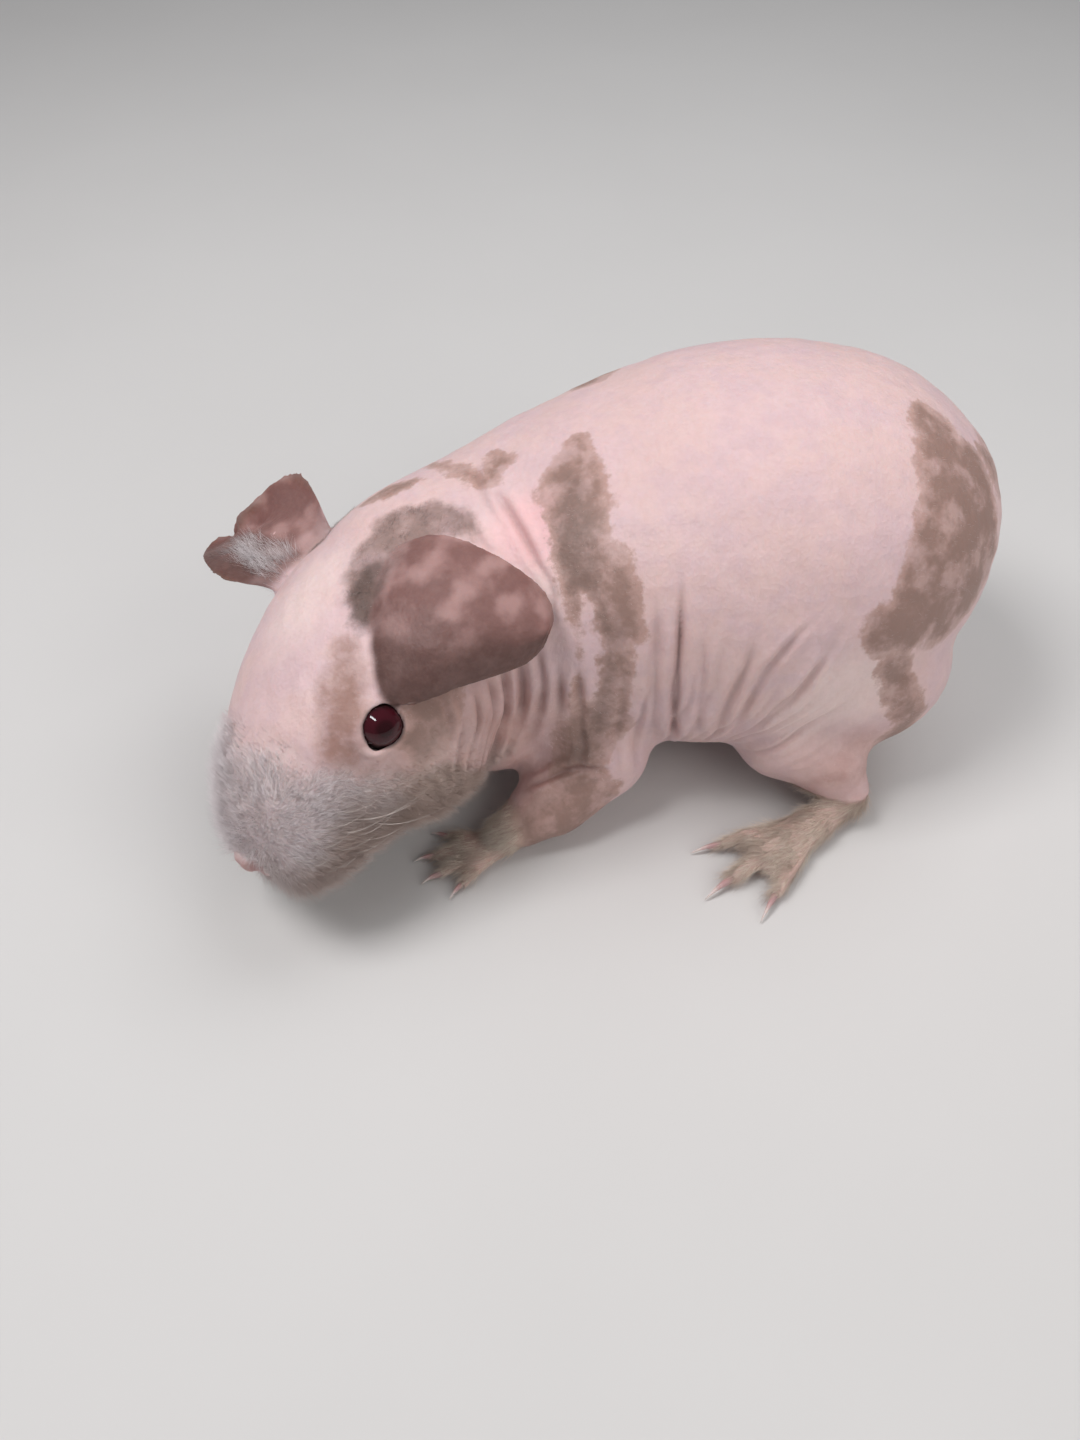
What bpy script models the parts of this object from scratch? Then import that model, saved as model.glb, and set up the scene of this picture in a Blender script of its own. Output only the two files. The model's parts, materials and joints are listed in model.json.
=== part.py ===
"""A skinny pig, the hairless guinea pig, life size: a young adult on all fours, nosing along the floor.

Metres, +Z up. The spine runs along X with the rump at +X, and the animal's left side is at -Y. It
turns its head to its left and down. The origin is on the floor, under the middle of the model's box.
The body is one form, blended from lofts, masses and limbs, and is then parted with thin cuts into
head, neck, torso, legs and feet. Ears, eyes and claws are pieces of their own.
"""

import math

import bmesh
import bpy
import numpy as np
from mathutils import Matrix, Vector

MM = 0.001
GAP = 0.3

# All sizes below are in millimetres, and angles in degrees.

# Torso and neck: sections from the rump to the back of the skull. Each is the middle of the section
# (x, y, z), then its half width, its height above the middle and its depth below it.
TRUNK_SECTIONS = (
    (65.5, -1.0, 38.0, 8.0, 9.0, 9.0),
    (61.5, -1.0, 39.0, 22.0, 23.0, 22.0),
    (52.0, -0.8, 42.0, 33.0, 34.0, 33.0),
    (37.0, -0.5, 45.0, 40.5, 41.0, 39.0),
    (18.0, -0.5, 46.5, 43.5, 42.5, 41.0),
    (0.0, -1.0, 46.0, 42.0, 41.0, 41.0),
    (-18.0, -2.0, 45.0, 38.0, 37.0, 38.0),
    (-34.0, -4.0, 44.5, 33.5, 32.0, 34.0),
    (-46.0, -7.0, 45.5, 29.0, 28.0, 29.0),
    (-57.0, -11.0, 46.5, 25.5, 25.0, 26.0),
    (-67.0, -17.0, 46.0, 21.0, 20.5, 21.0),
)
TRUNK_SQUARENESS = 2.15

# The head has its own frame: x runs forward from the back of the skull, y to its left, z up.
HEAD_PLACE = (-50.0, -4.0, 51.0)
HEAD_YAW = 47.0
HEAD_PITCH = 21.0
HEAD_ROLL = 27.0
# Sections of the head: how far forward, half width, top and bottom.
HEAD_SECTIONS = (
    (-7.0, 12.0, 11.0, -13.0),
    (-3.0, 20.0, 17.0, -19.0),
    (6.0, 24.5, 21.5, -23.0),
    (16.0, 26.5, 24.0, -25.0),
    (28.0, 26.5, 24.5, -25.5),
    (38.0, 24.0, 23.0, -25.0),
    (47.0, 21.0, 20.5, -23.0),
    (56.0, 18.0, 17.0, -21.0),
    (64.0, 16.0, 12.5, -19.0),
    (70.0, 13.0, 7.5, -16.0),
    (74.0, 8.0, 2.0, -11.0),
)
HEAD_SQUARENESS = 2.3
# Masses laid over the head: place, then radii. The pairs are mirrored.
LIP_PAD = ((64.5, 6.0, -8.5), (9.0, 7.5, 8.5))
CHEEK = ((36.0, 14.0, -12.0), (15.0, 11.0, 13.0))
CHIN = ((56.0, 0.0, -18.0), (8.5, 7.5, 5.0))
NOSE_TIP = ((71.5, 0.0, -0.5), (4.5, 5.0, 4.0))

# Mouth: how high its line lies at the front of the muzzle, how much it drops towards the corners, and
# how far back the corners are. The lower lip is set back behind the upper one.
MOUTH_HEIGHT = -14.0
MOUTH_FALL = 0.12
MOUTH_FRONT = 72.0
MOUTH_CORNER = 57.0
MOUTH_DEPTH = 1.5
MOUTH_WIDTH = 1.0
LIP_ROLL = 0.6
LOWER_LIP_SET_BACK = 1.3
# The cleft from nose to mouth.
CLEFT_TOP = -3.5
CLEFT_DEPTH = 1.0
CLEFT_WIDTH = 0.9
# Nostril: a slot on each side of the nose, seen from the front as (y, z) points.
NOSTRIL = ((2.0, -3.2), (4.0, -0.6))
NOSTRIL_FROM = 69.0
NOSTRIL_DEPTH = 2.0
NOSTRIL_WIDTH = 0.9

EYE_RADIUS = 5.4
EYE_PLACE = (38.5, 19.4, 5.5)
LID_OPENING = 4.5
LID_THICKNESS = 1.15
# The lids face this way out of the head, for the left eye.
EYE_AXIS = (0.22, 0.95, 0.22)

# Ears: a cupped leaf, in rows from the root to the tip. Each row is how far it is from the root, how
# far forward its middle lies and its half width.
EAR_SECTIONS = (
    (-6.0, 0.5, 7.0),
    (-2.0, 0.5, 9.5),
    (2.0, 0.5, 12.0),
    (7.0, 0.7, 15.5),
    (12.5, 0.8, 17.0),
    (18.0, 0.0, 16.0),
    (23.5, -2.6, 13.0),
    (28.5, -4.4, 10.2),
    (32.0, -5.4, 7.6),
    (34.2, -5.9, 4.6),
    (35.0, -6.1, 2.0),
)
EAR_THICKNESS = 1.2
EAR_ROOT_THICKNESS = 4.5
# How far the root is sunk into the head, where the leaf starts and a little way along it.
EAR_SINK = 3.5
# Each ear in the head's frame: its root, the way to its tip, the way its back faces, its length as a
# share of the sections above, how much of their skew it takes, how high it arches, how far its tip
# droops, and how far its front and rear edges roll towards the back. The rim may have a notch, as
# (how deep, how far behind the middle, how broad), with the last two as shares of the half width. The
# rear lobe may be shorter than the front one, and narrower towards the root.
EARS = {
    "left": {
        "root": (20.0, 14.0, 21.0),
        "tip_way": (-0.16, 0.74, -0.66),
        "back_way": (0.18, 0.66, 0.73),
        "length": 1.0,
        "skew": 1.0,
        "arch": 5.5,
        "droop": 0.0,
        "front_roll": -5.0,
        "rear_roll": -4.5,
        "notch": (0.0, 0.0, 1.0),
        "rear_short": 0.0,
        "rear_narrow": 0.0,
    },
    "right": {
        "root": (13.5, -15.0, 18.5),
        "tip_way": (0.02, -0.97, 0.24),
        "back_way": (-0.20, 0.22, 0.95),
        "length": 0.9,
        "skew": -0.4,
        "arch": 3.0,
        "droop": 3.0,
        "front_roll": 2.5,
        "rear_roll": 7.0,
        "notch": (5.0, 0.28, 0.24),
        "rear_short": 6.0,
        "rear_narrow": 0.5,
    },
}

# Masses of the chest, and of the left shoulder and haunch: place, then radii.
CHEST = ((-44.0, -19.0, 25.0), (16.0, 17.0, 16.0))
SHOULDER = ((-27.0, -23.0, 34.0), (19.0, 13.0, 23.0))
THIGH = ((35.0, -25.0, 30.5), (24.0, 18.0, 21.5))
# Limbs as lines of (x, y, z, radius).
UPPER_ARM = ((-24.0, -25.0, 30.0, 13.0), (-20.0, -31.0, 17.0, 11.0))
FOREARM = ((-20.0, -31.0, 16.0, 10.5), (-32.0, -38.0, 10.0, 8.5), (-44.0, -43.0, 5.5, 5.0))
SHANK = ((21.0, -33.0, 20.0, 12.0), (30.0, -38.0, 15.0, 9.5), (35.0, -43.5, 8.0, 5.5))
# Feet: the left foot's back end, the way it points (0 is forward, towards -X), and its toes. A toe is
# how far forward and to the outside it starts and ends, its radius and how long its claw is.
FORE_FOOT = {"place": (-43.0, -43.0), "heading": 12.0, "height": 3.6, "half_width": 4.2, "length": 9.0}
HIND_FOOT = {"place": (35.5, -43.5), "heading": 27.0, "height": 4.2, "half_width": 4.6, "length": 25.0}
FORE_TOES = (
    (6.0, -3.6, 11.5, -7.0, 1.7, 3.6),
    (8.0, -1.4, 16.0, -2.6, 1.9, 4.2),
    (8.0, 1.4, 16.0, 2.2, 1.9, 4.2),
    (6.5, 3.6, 12.5, 6.6, 1.7, 3.6),
)
HIND_TOES = (
    (19.0, -4.0, 30.0, -8.2, 2.2, 6.5),
    (22.0, 0.0, 34.0, 0.0, 2.5, 7.0),
    (18.0, 4.0, 29.0, 8.4, 2.2, 6.5),
)
# A claw's base, as a share of its toe's radius, and where the toe ends past its last round.
CLAW_BASE = 0.66
TOE_END = 0.45
CLAW_LIFT = 0.35

# Cuts. Head: the skull's sections this much larger, from this far forward. Neck: in front of this X.
HEAD_CUT_REACH = 3.5
HEAD_CUT_FROM = 1.0
NECK_CUT = -43.0
# Legs: an ellipsoid round each left leg, as place and radii, turned about Z by an angle.
FORE_LEG_CUT = ((-30.0, -37.5, 10.0), (25.0, 13.0, 15.0), 27.0)
HIND_LEG_CUT = ((30.0, -34.0, 21.0), (25.0, 17.0, 25.0), 0.0)
# Feet: a block in the foot's own frame, from back to front, its half width at both, and its height.
FORE_FOOT_CUT = (-1.0, 24.0, 7.0, 12.5, 13.0)
HIND_FOOT_CUT = (-9.0, 45.0, 6.5, 15.0, 7.6)

BODY_VOXEL = 1.6
FINE_VOXEL = 0.8
FLESH_TRIANGLES = 7600
# How deep the soles reach under the floor before they are cut flat there.
FLOOR_CUT = 0.5


def clear_scene():
    """Removes every object that the file starts with."""
    for obj in list(bpy.data.objects):
        bpy.data.objects.remove(obj)


def make_collection(name):
    """A collection of that name, in the scene."""
    collection = bpy.data.collections.new(name)
    bpy.context.scene.collection.children.link(collection)
    return collection


clear_scene()
ANIMAL = make_collection("skinny_pig")
CUTTERS = make_collection("cutters")


def new_object(name, mesh, collection=CUTTERS):
    """An object for the mesh. One in the cutters' collection is hidden from the render."""
    obj = bpy.data.objects.new(name, mesh)
    collection.objects.link(obj)
    if collection is CUTTERS:
        obj.hide_render = True
        obj.display_type = "WIRE"
    return obj


def remove(*objects):
    """Removes objects that have done their work."""
    for obj in objects:
        bpy.data.objects.remove(obj)


def evaluated(obj, name):
    """A plain mesh object with the shape that obj has after its modifiers. It replaces obj."""
    depsgraph = bpy.context.evaluated_depsgraph_get()
    mesh = bpy.data.meshes.new_from_object(obj.evaluated_get(depsgraph))
    mesh.transform(obj.matrix_world)
    remove(obj)
    return new_object(name, mesh)


def vec(point):
    """A point given in millimetres, in metres."""
    return Vector(point) * MM


def section_ring(middle, side, up, half_width, height, depth, squareness, count):
    """Points round a section: a superellipse with its own height above and depth below its middle."""
    points = []
    for i in range(count):
        turn = 2 * math.pi * i / count
        c, s = math.cos(turn), math.sin(turn)
        across = math.copysign(abs(c) ** (2 / squareness), c) * half_width
        rise = math.copysign(abs(s) ** (2 / squareness), s) * (height if s > 0 else depth)
        points.append(middle + side * across + up * rise)
    return points


def loft(name, rings, collection=CUTTERS):
    """One closed mesh through the rings, with a fan at each end."""
    bm = bmesh.new()
    made = [[bm.verts.new(p) for p in ring] for ring in rings]
    count = len(rings[0])
    for near, far in zip(made, made[1:]):
        for i in range(count):
            j = (i + 1) % count
            bm.faces.new((near[i], near[j], far[j], far[i]))
    for ring, points in ((made[0], rings[0]), (made[-1], rings[-1])):
        hub = bm.verts.new(sum(points, Vector()) / count)
        for i in range(count):
            bm.faces.new((ring[i], ring[(i + 1) % count], hub))
    bmesh.ops.recalc_face_normals(bm, faces=bm.faces)
    mesh = bpy.data.meshes.new(name)
    bm.to_mesh(mesh)
    bm.free()
    return new_object(name, mesh, collection)


def smooth_rows(rows, steps):
    """Rows on a smooth curve through the given ones, so that a few sections give a smooth loft."""
    rows = np.array(rows, float)
    padded = np.vstack([2 * rows[0] - rows[1], rows, 2 * rows[-1] - rows[-2]])
    out = []
    for i in range(len(rows) - 1):
        p0, p1, p2, p3 = padded[i : i + 4]
        for k in range(steps):
            t = k / steps
            linear = (p2 - p0) * t
            square = (2 * p0 - 5 * p1 + 4 * p2 - p3) * t**2
            cube = (3 * p1 - p0 - 3 * p2 + p3) * t**3
            out.append(0.5 * (2 * p1 + linear + square + cube))
    out.append(rows[-1])
    return np.array(out)


def make_trunk():
    """Torso and neck as one loft, each section square to the curve of the spine."""
    rows = smooth_rows(TRUNK_SECTIONS, 4) * MM
    rings = []
    for i, row in enumerate(rows):
        along = Vector(rows[min(i + 1, len(rows) - 1)][:3] - rows[max(i - 1, 0)][:3]).normalized()
        side = along.cross(Vector((0, 0, 1))).normalized()
        up = side.cross(along).normalized()
        rings.append(section_ring(Vector(row[:3]), side, up, *row[3:], TRUNK_SQUARENESS, 40))
    return loft("trunk", rings)


def head_matrix():
    """From the head's own frame to the model's."""
    turn = (
        Matrix.Rotation(math.radians(180 + HEAD_YAW), 4, "Z")
        @ Matrix.Rotation(math.radians(HEAD_PITCH), 4, "Y")
        @ Matrix.Rotation(math.radians(HEAD_ROLL), 4, "X")
    )
    return Matrix.Translation(vec(HEAD_PLACE)) @ turn


HEAD = head_matrix()


def make_skull():
    """The head as one loft from the back of the skull to the tip of the nose."""
    rings = []
    for forward, half_width, top, bottom in smooth_rows(HEAD_SECTIONS, 4) * MM:
        middle = Vector((forward, 0, (top + bottom) / 2))
        half = (top - bottom) / 2
        across, up = Vector((0, 1, 0)), Vector((0, 0, 1))
        rings.append(section_ring(middle, across, up, half_width, half, half, HEAD_SQUARENESS, 40))
    skull = loft("skull", rings)
    skull.data.transform(HEAD)
    return skull


def ellipsoid(name, place, radii, frame=Matrix.Identity(4), segments=32):
    """An ellipsoid with its axes along those of the frame."""
    bm = bmesh.new()
    bmesh.ops.create_uvsphere(bm, u_segments=segments, v_segments=segments // 2, radius=1)
    mesh = bpy.data.meshes.new(name)
    bm.to_mesh(mesh)
    bm.free()
    mesh.transform(frame @ Matrix.Translation(vec(place)) @ Matrix.Diagonal((*vec(radii), 1)))
    return new_object(name, mesh)


def mirrored(point, side):
    """The point on the animal's left, or its mirror image on the right."""
    x, y, z = point[:3]
    return (x, y if side == "left" else -y, z) + tuple(point[3:])


def limb(name, points, side="left"):
    """A round, tapering length through points of (x, y, z, radius), with round ends."""
    pieces = [ellipsoid(name, mirrored(p, side)[:3], (p[3],) * 3, segments=20) for p in points]
    curve = bpy.data.curves.new(name, "CURVE")
    curve.dimensions = "3D"
    curve.bevel_depth = MM
    curve.bevel_resolution = 4
    curve.use_fill_caps = True
    spline = curve.splines.new("POLY")
    spline.points.add(len(points) - 1)
    for spot, point in zip(spline.points, points):
        x, y, z, radius = mirrored(point, side)
        spot.co = (*vec((x, y, z)), 1)
        spot.radius = radius
    obj = bpy.data.objects.new(name, curve)
    CUTTERS.objects.link(obj)
    tube = evaluated(obj, name)
    bm = bmesh.new()
    bm.from_mesh(tube.data)
    bmesh.ops.remove_doubles(bm, verts=bm.verts, dist=1e-6)
    bm.to_mesh(tube.data)
    bm.free()
    return pieces + [tube]


def join(name, objects):
    """One object that holds the meshes of all the given ones, which are removed."""
    bm = bmesh.new()
    for obj in objects:
        bm.from_mesh(obj.data)
    remove(*objects)
    mesh = bpy.data.meshes.new(name)
    bm.to_mesh(mesh)
    bm.free()
    return new_object(name, mesh)


def blend(obj, voxel, rounds):
    """The joined pieces as one surface, smoothed so that they flow into one another."""
    remesh = obj.modifiers.new("one surface", "REMESH")
    remesh.mode = "VOXEL"
    remesh.voxel_size = voxel * MM
    smooth = obj.modifiers.new("flow", "SMOOTH")
    smooth.factor = 0.5
    smooth.iterations = rounds
    return evaluated(obj, obj.name)


def foot_point(foot, forward, outside, height):
    """A point of the left foot: how far forward of its back end, how far out, and its height."""
    turn = math.radians(foot["heading"])
    x, y = foot["place"]
    return (
        x - forward * math.cos(turn) + outside * math.sin(turn),
        y - forward * math.sin(turn) - outside * math.cos(turn),
        height,
    )


def foot_pieces(name, foot, toes, side):
    """A foot with its toes: a broad sole that tapers to the heel, and one round length a toe."""
    height, half_width, length = foot["height"], foot["half_width"], foot["length"]
    rows = []
    for step in range(5):
        t = step / 4
        radius = height * (1 - 0.12 * t)
        rows.append((*foot_point(foot, t * length, 0, radius * 0.85), radius))
    pieces = limb(name, rows, side)
    for outside in (-1, 1):
        start = foot_point(foot, 0.35 * length, outside * half_width * 0.3, height * 0.75)
        end = foot_point(foot, length, outside * half_width * 0.62, height * 0.65)
        pieces += limb(name, ((*start, height * 0.8), (*end, height * 0.72)), side)
    for near, near_out, far, far_out, radius, _ in toes:
        start = foot_point(foot, near, near_out, radius + 0.6)
        knuckle = foot_point(foot, (near + far) / 2, (near_out + far_out) / 2, radius + 0.9)
        end = foot_point(foot, far, far_out, radius * 0.8)
        pieces += limb(name, ((*start, radius), (*knuckle, radius), (*end, radius * 0.88)), side)
    return pieces


def lid_ring(side):
    """The rim of the lids, a ring that stands round the opening of the eye."""
    sign = 1 if side == "left" else -1
    axis = Vector((EYE_AXIS[0], EYE_AXIS[1] * sign, EYE_AXIS[2])).normalized()
    middle = Vector((EYE_PLACE[0], EYE_PLACE[1] * sign, EYE_PLACE[2]))
    lift = math.sqrt(EYE_RADIUS**2 - LID_OPENING**2) + 0.2
    long_way = axis.cross(Vector((0, 0, 1))).normalized()
    short_way = axis.cross(long_way).normalized()
    rings = []
    steps = 28
    for i in range(steps + 1):
        turn = 2 * math.pi * i / steps
        reach = long_way * math.cos(turn) * (LID_OPENING + 0.9)
        reach += short_way * math.sin(turn) * (LID_OPENING + 0.3)
        out = reach.normalized()
        spot = middle + axis * lift + reach
        thick = LID_THICKNESS * MM
        rings.append(section_ring(spot * MM, out, axis, 1.5 * MM, thick, thick, 2, 10))
    ring = loft("lids_" + side, rings)
    ring.data.transform(HEAD)
    return ring


def line_distance(points, line):
    """How far each point lies from a line of straight lengths."""
    best = np.full(len(points), 1e9)
    for start, end in zip(line, line[1:]):
        start, end = np.array(start, float), np.array(end, float)
        along = end - start
        t = np.clip((points - start) @ along / (along @ along), 0, 1)
        best = np.minimum(best, np.linalg.norm(points - start - t[:, None] * along, axis=1))
    return best


def shape_head(mesh):
    """Presses the line of the mouth, the cleft and the nostrils into the surface, and rolls the lips."""
    to_head = HEAD.inverted()
    count = len(mesh.vertices)
    places = np.empty(count * 3)
    normals = np.empty(count * 3)
    mesh.vertices.foreach_get("co", places)
    mesh.vertices.foreach_get("normal", normals)
    places = places.reshape(-1, 3)
    normals = normals.reshape(-1, 3)
    local = (places @ np.array(to_head.to_3x3()).T + np.array(to_head.translation)) / MM
    forward, across, height = local.T
    line = MOUTH_HEIGHT - MOUTH_FALL * (MOUTH_FRONT - forward)
    muzzle = np.clip((forward - MOUTH_CORNER) / 3, 0, 1)
    over = height - line
    shift = -MOUTH_DEPTH * np.exp(-((over / MOUTH_WIDTH) ** 2)) * muzzle
    shift += LIP_ROLL * np.exp(-(((over - 2.6) / 1.3) ** 2)) * muzzle
    below = np.clip(-over, 0, 1) * np.clip((over + 9) / 4, 0, 1)
    shift -= LOWER_LIP_SET_BACK * below * muzzle
    cleft = (height < CLEFT_TOP) & (over > 0) & (forward > MOUTH_CORNER + 5)
    shift -= CLEFT_DEPTH * np.exp(-((across / CLEFT_WIDTH) ** 2)) * cleft
    for sign in (1, -1):
        front = np.column_stack((across * sign, height))
        nostril = np.where(forward > NOSTRIL_FROM, line_distance(front, NOSTRIL), 9)
        shift -= NOSTRIL_DEPTH * np.exp(-((nostril / NOSTRIL_WIDTH) ** 2))
        shift += 0.5 * np.exp(-(((nostril - 2.2) / 0.9) ** 2))
    places += normals * shift[:, None] * MM
    places[:, 2] = np.maximum(places[:, 2], -FLOOR_CUT * MM)
    mesh.vertices.foreach_set("co", places.ravel())
    mesh.update()


def make_flesh():
    """The whole body without ears, eyes and claws, as one closed surface of few triangles."""
    masses = [make_trunk(), make_skull(), ellipsoid("chest", *CHEST)]
    for side in ("left", "right"):
        masses.append(ellipsoid("shoulder", mirrored(SHOULDER[0], side), SHOULDER[1]))
        masses.append(ellipsoid("thigh", mirrored(THIGH[0], side), THIGH[1]))
        masses += limb("upper_arm", UPPER_ARM, side)
        masses += limb("forearm", FOREARM, side)
        masses += limb("shank", SHANK, side)
        sign = 1 if side == "left" else -1
        for place, radii in (LIP_PAD, CHEEK):
            masses.append(ellipsoid("face", (place[0], place[1] * sign, place[2]), radii, HEAD))
    for place, radii in (CHIN, NOSE_TIP):
        masses.append(ellipsoid("face", place, radii, HEAD))
    body = blend(join("flesh", masses), BODY_VOXEL, 9)
    fine = [body]
    for side in ("left", "right"):
        fine += foot_pieces("fore_foot", FORE_FOOT, FORE_TOES, side)
        fine += foot_pieces("hind_foot", HIND_FOOT, HIND_TOES, side)
        fine.append(lid_ring(side))
    flesh = blend(join("flesh", fine), FINE_VOXEL, 2)
    shape_head(flesh.data)
    triangles = 2 * len(flesh.data.polygons)
    decimate = flesh.modifiers.new("few triangles", "DECIMATE")
    decimate.ratio = FLESH_TRIANGLES / triangles
    return evaluated(flesh, "flesh")


def boolean(obj, cutter, operation):
    """Cuts obj with the cutter, or keeps what lies in it. Only the largest closed surface stays."""
    modifier = obj.modifiers.new("cut", "BOOLEAN")
    modifier.operation = operation
    modifier.object = cutter
    modifier.solver = "EXACT"
    cut = evaluated(obj, obj.name)
    keep_largest(cut.data)
    return cut


def keep_largest(mesh):
    """Removes all but the largest closed surface of the mesh, measured by its faces' area."""
    bm = bmesh.new()
    bm.from_mesh(mesh)
    left = set(bm.faces)
    shells = []
    while left:
        stack = [left.pop()]
        shell = []
        while stack:
            face = stack.pop()
            shell.append(face)
            for edge in face.edges:
                for other in edge.link_faces:
                    if other in left:
                        left.remove(other)
                        stack.append(other)
        shells.append(shell)
    shells.sort(key=lambda faces: sum(face.calc_area() for face in faces))
    for shell in shells[:-1]:
        bmesh.ops.delete(bm, geom=shell, context="FACES")
    bmesh.ops.delete(bm, geom=[v for v in bm.verts if not v.link_faces], context="VERTS")
    bm.to_mesh(mesh)
    bm.free()


def copy_of(obj, name):
    """A copy of the object with a mesh of its own."""
    return new_object(name, obj.data.copy())


def part_off(body, name, region, wider_region):
    """Parts the body in two: what lies in the region, and the rest, with the gap between them."""
    piece = boolean(copy_of(body, name), region, "INTERSECT")
    rest = boolean(body, wider_region, "DIFFERENCE")
    remove(region, wider_region)
    return piece, rest


def box(name, low, high, frame=Matrix.Identity(4)):
    """A box between two corners, in the axes of the frame."""
    bm = bmesh.new()
    bmesh.ops.create_cube(bm, size=1)
    mesh = bpy.data.meshes.new(name)
    bm.to_mesh(mesh)
    bm.free()
    low, high = vec(low), vec(high)
    mesh.transform(frame @ Matrix.Translation((low + high) / 2) @ Matrix.Diagonal((*(high - low), 1)))
    return new_object(name, mesh)


def foot_matrix(foot, side):
    """The foot's own frame: x forward along it, y to the animal's left, z up."""
    sign = 1 if side == "left" else -1
    x, y = foot["place"]
    turn = Matrix.Rotation(math.radians(180 + foot["heading"] * sign), 4, "Z")
    return Matrix.Translation(vec((x, y * sign, 0))) @ turn


def foot_region(foot, cut, side, wider):
    """The block that holds a foot, narrow at the heel and wide at the toes."""
    back, front, back_half, front_half, height = cut
    rings = []
    for forward, half in ((back - wider, back_half + wider), (front + wider, front_half + wider)):
        top = height + wider
        corners = ((-half, -2), (half, -2), (half, top), (-half, top))
        rings.append([vec((forward, across, rise)) for across, rise in corners])
    region = loft("foot_region", rings)
    region.data.transform(foot_matrix(foot, side))
    return region


def leg_region(cut, side, wider):
    """The ellipsoid that holds a leg."""
    place, radii, angle = cut
    sign = 1 if side == "left" else -1
    x, y, z = place
    frame = Matrix.Translation(vec((x, y * sign, z))) @ Matrix.Rotation(math.radians(angle * sign), 4, "Z")
    return ellipsoid("leg_region", (0, 0, 0), tuple(r + wider for r in radii), frame, 20)


def head_region(wider):
    """The head's sections, larger all round, from the back of the skull forward."""
    rings = []
    reach = HEAD_CUT_REACH + wider
    rows = [row for row in HEAD_SECTIONS if row[0] > HEAD_CUT_FROM]
    first, last = rows[0], rows[-1]
    rows = [(HEAD_CUT_FROM - wider, *first[1:])] + rows + [(last[0] + reach, *last[1:])]
    for forward, half_width, top, bottom in rows:
        middle = Vector((forward, 0, (top + bottom) / 2)) * MM
        wide = (half_width + reach) * MM
        half = ((top - bottom) / 2 + reach) * MM
        across, up = Vector((0, 1, 0)), Vector((0, 0, 1))
        rings.append(section_ring(middle, across, up, wide, half, half, HEAD_SQUARENESS, 24))
    region = loft("head_region", rings)
    region.data.transform(HEAD)
    return region


def claw(name, start, way, base, length):
    """A claw: a tapering cone that curves down to the floor, on a flat base."""
    side = way.cross(Vector((0, 0, 1))).normalized()
    drop = start.z - (CLAW_LIFT + 0.1) * MM
    rings = []
    steps = 4
    for i in range(steps + 1):
        t = i / steps
        spot = start + way * (length * t * MM) - Vector((0, 0, drop * t**1.8))
        up = side.cross(way).normalized()
        radius = base * (1 - t) ** 0.75 * 0.92 + base * 0.08
        height = min(radius, (spot.z / MM - CLAW_LIFT * 0.5))
        rings.append(section_ring(spot, side, up, radius * 0.8 * MM, radius * MM, height * MM, 2, 8))
    return loft(name, rings, ANIMAL)


def toe_ends(foot, toes, side):
    """Where each toe ends flat: the middle of its end, the way it points and its radius."""
    for near, near_out, far, far_out, radius, length in toes:
        knuckle = vec(mirrored(foot_point(foot, (near + far) / 2, (near_out + far_out) / 2, 0), side))
        tip = vec(mirrored(foot_point(foot, far, far_out, 0), side))
        way = (tip - knuckle).normalized()
        end = tip + way * radius * TOE_END * MM
        end.z = radius * 0.8 * MM
        yield end, way, radius, length


def toe_cutters_and_claws():
    """Boxes that end each toe in a flat, and the claws that stand on those flats."""
    cutters = []
    for foot_name, foot, toes in (("fore", FORE_FOOT, FORE_TOES), ("hind", HIND_FOOT, HIND_TOES)):
        for side in ("left", "right"):
            for i, (end, way, radius, length) in enumerate(toe_ends(foot, toes, side)):
                turn = math.atan2(way.y, way.x)
                frame = Matrix.Translation(end) @ Matrix.Rotation(turn, 4, "Z")
                half = radius + 0.5
                cutters.append(box("toe_end", (0, -half, -half * 2), (6, half, half * 2), frame))
                start = end + way * GAP * MM
                base = radius * 0.88 * CLAW_BASE
                claw(f"claw_{foot_name}_{side}_{i + 1}", start, way, base, length)
    return join("toe_ends", cutters)


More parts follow.
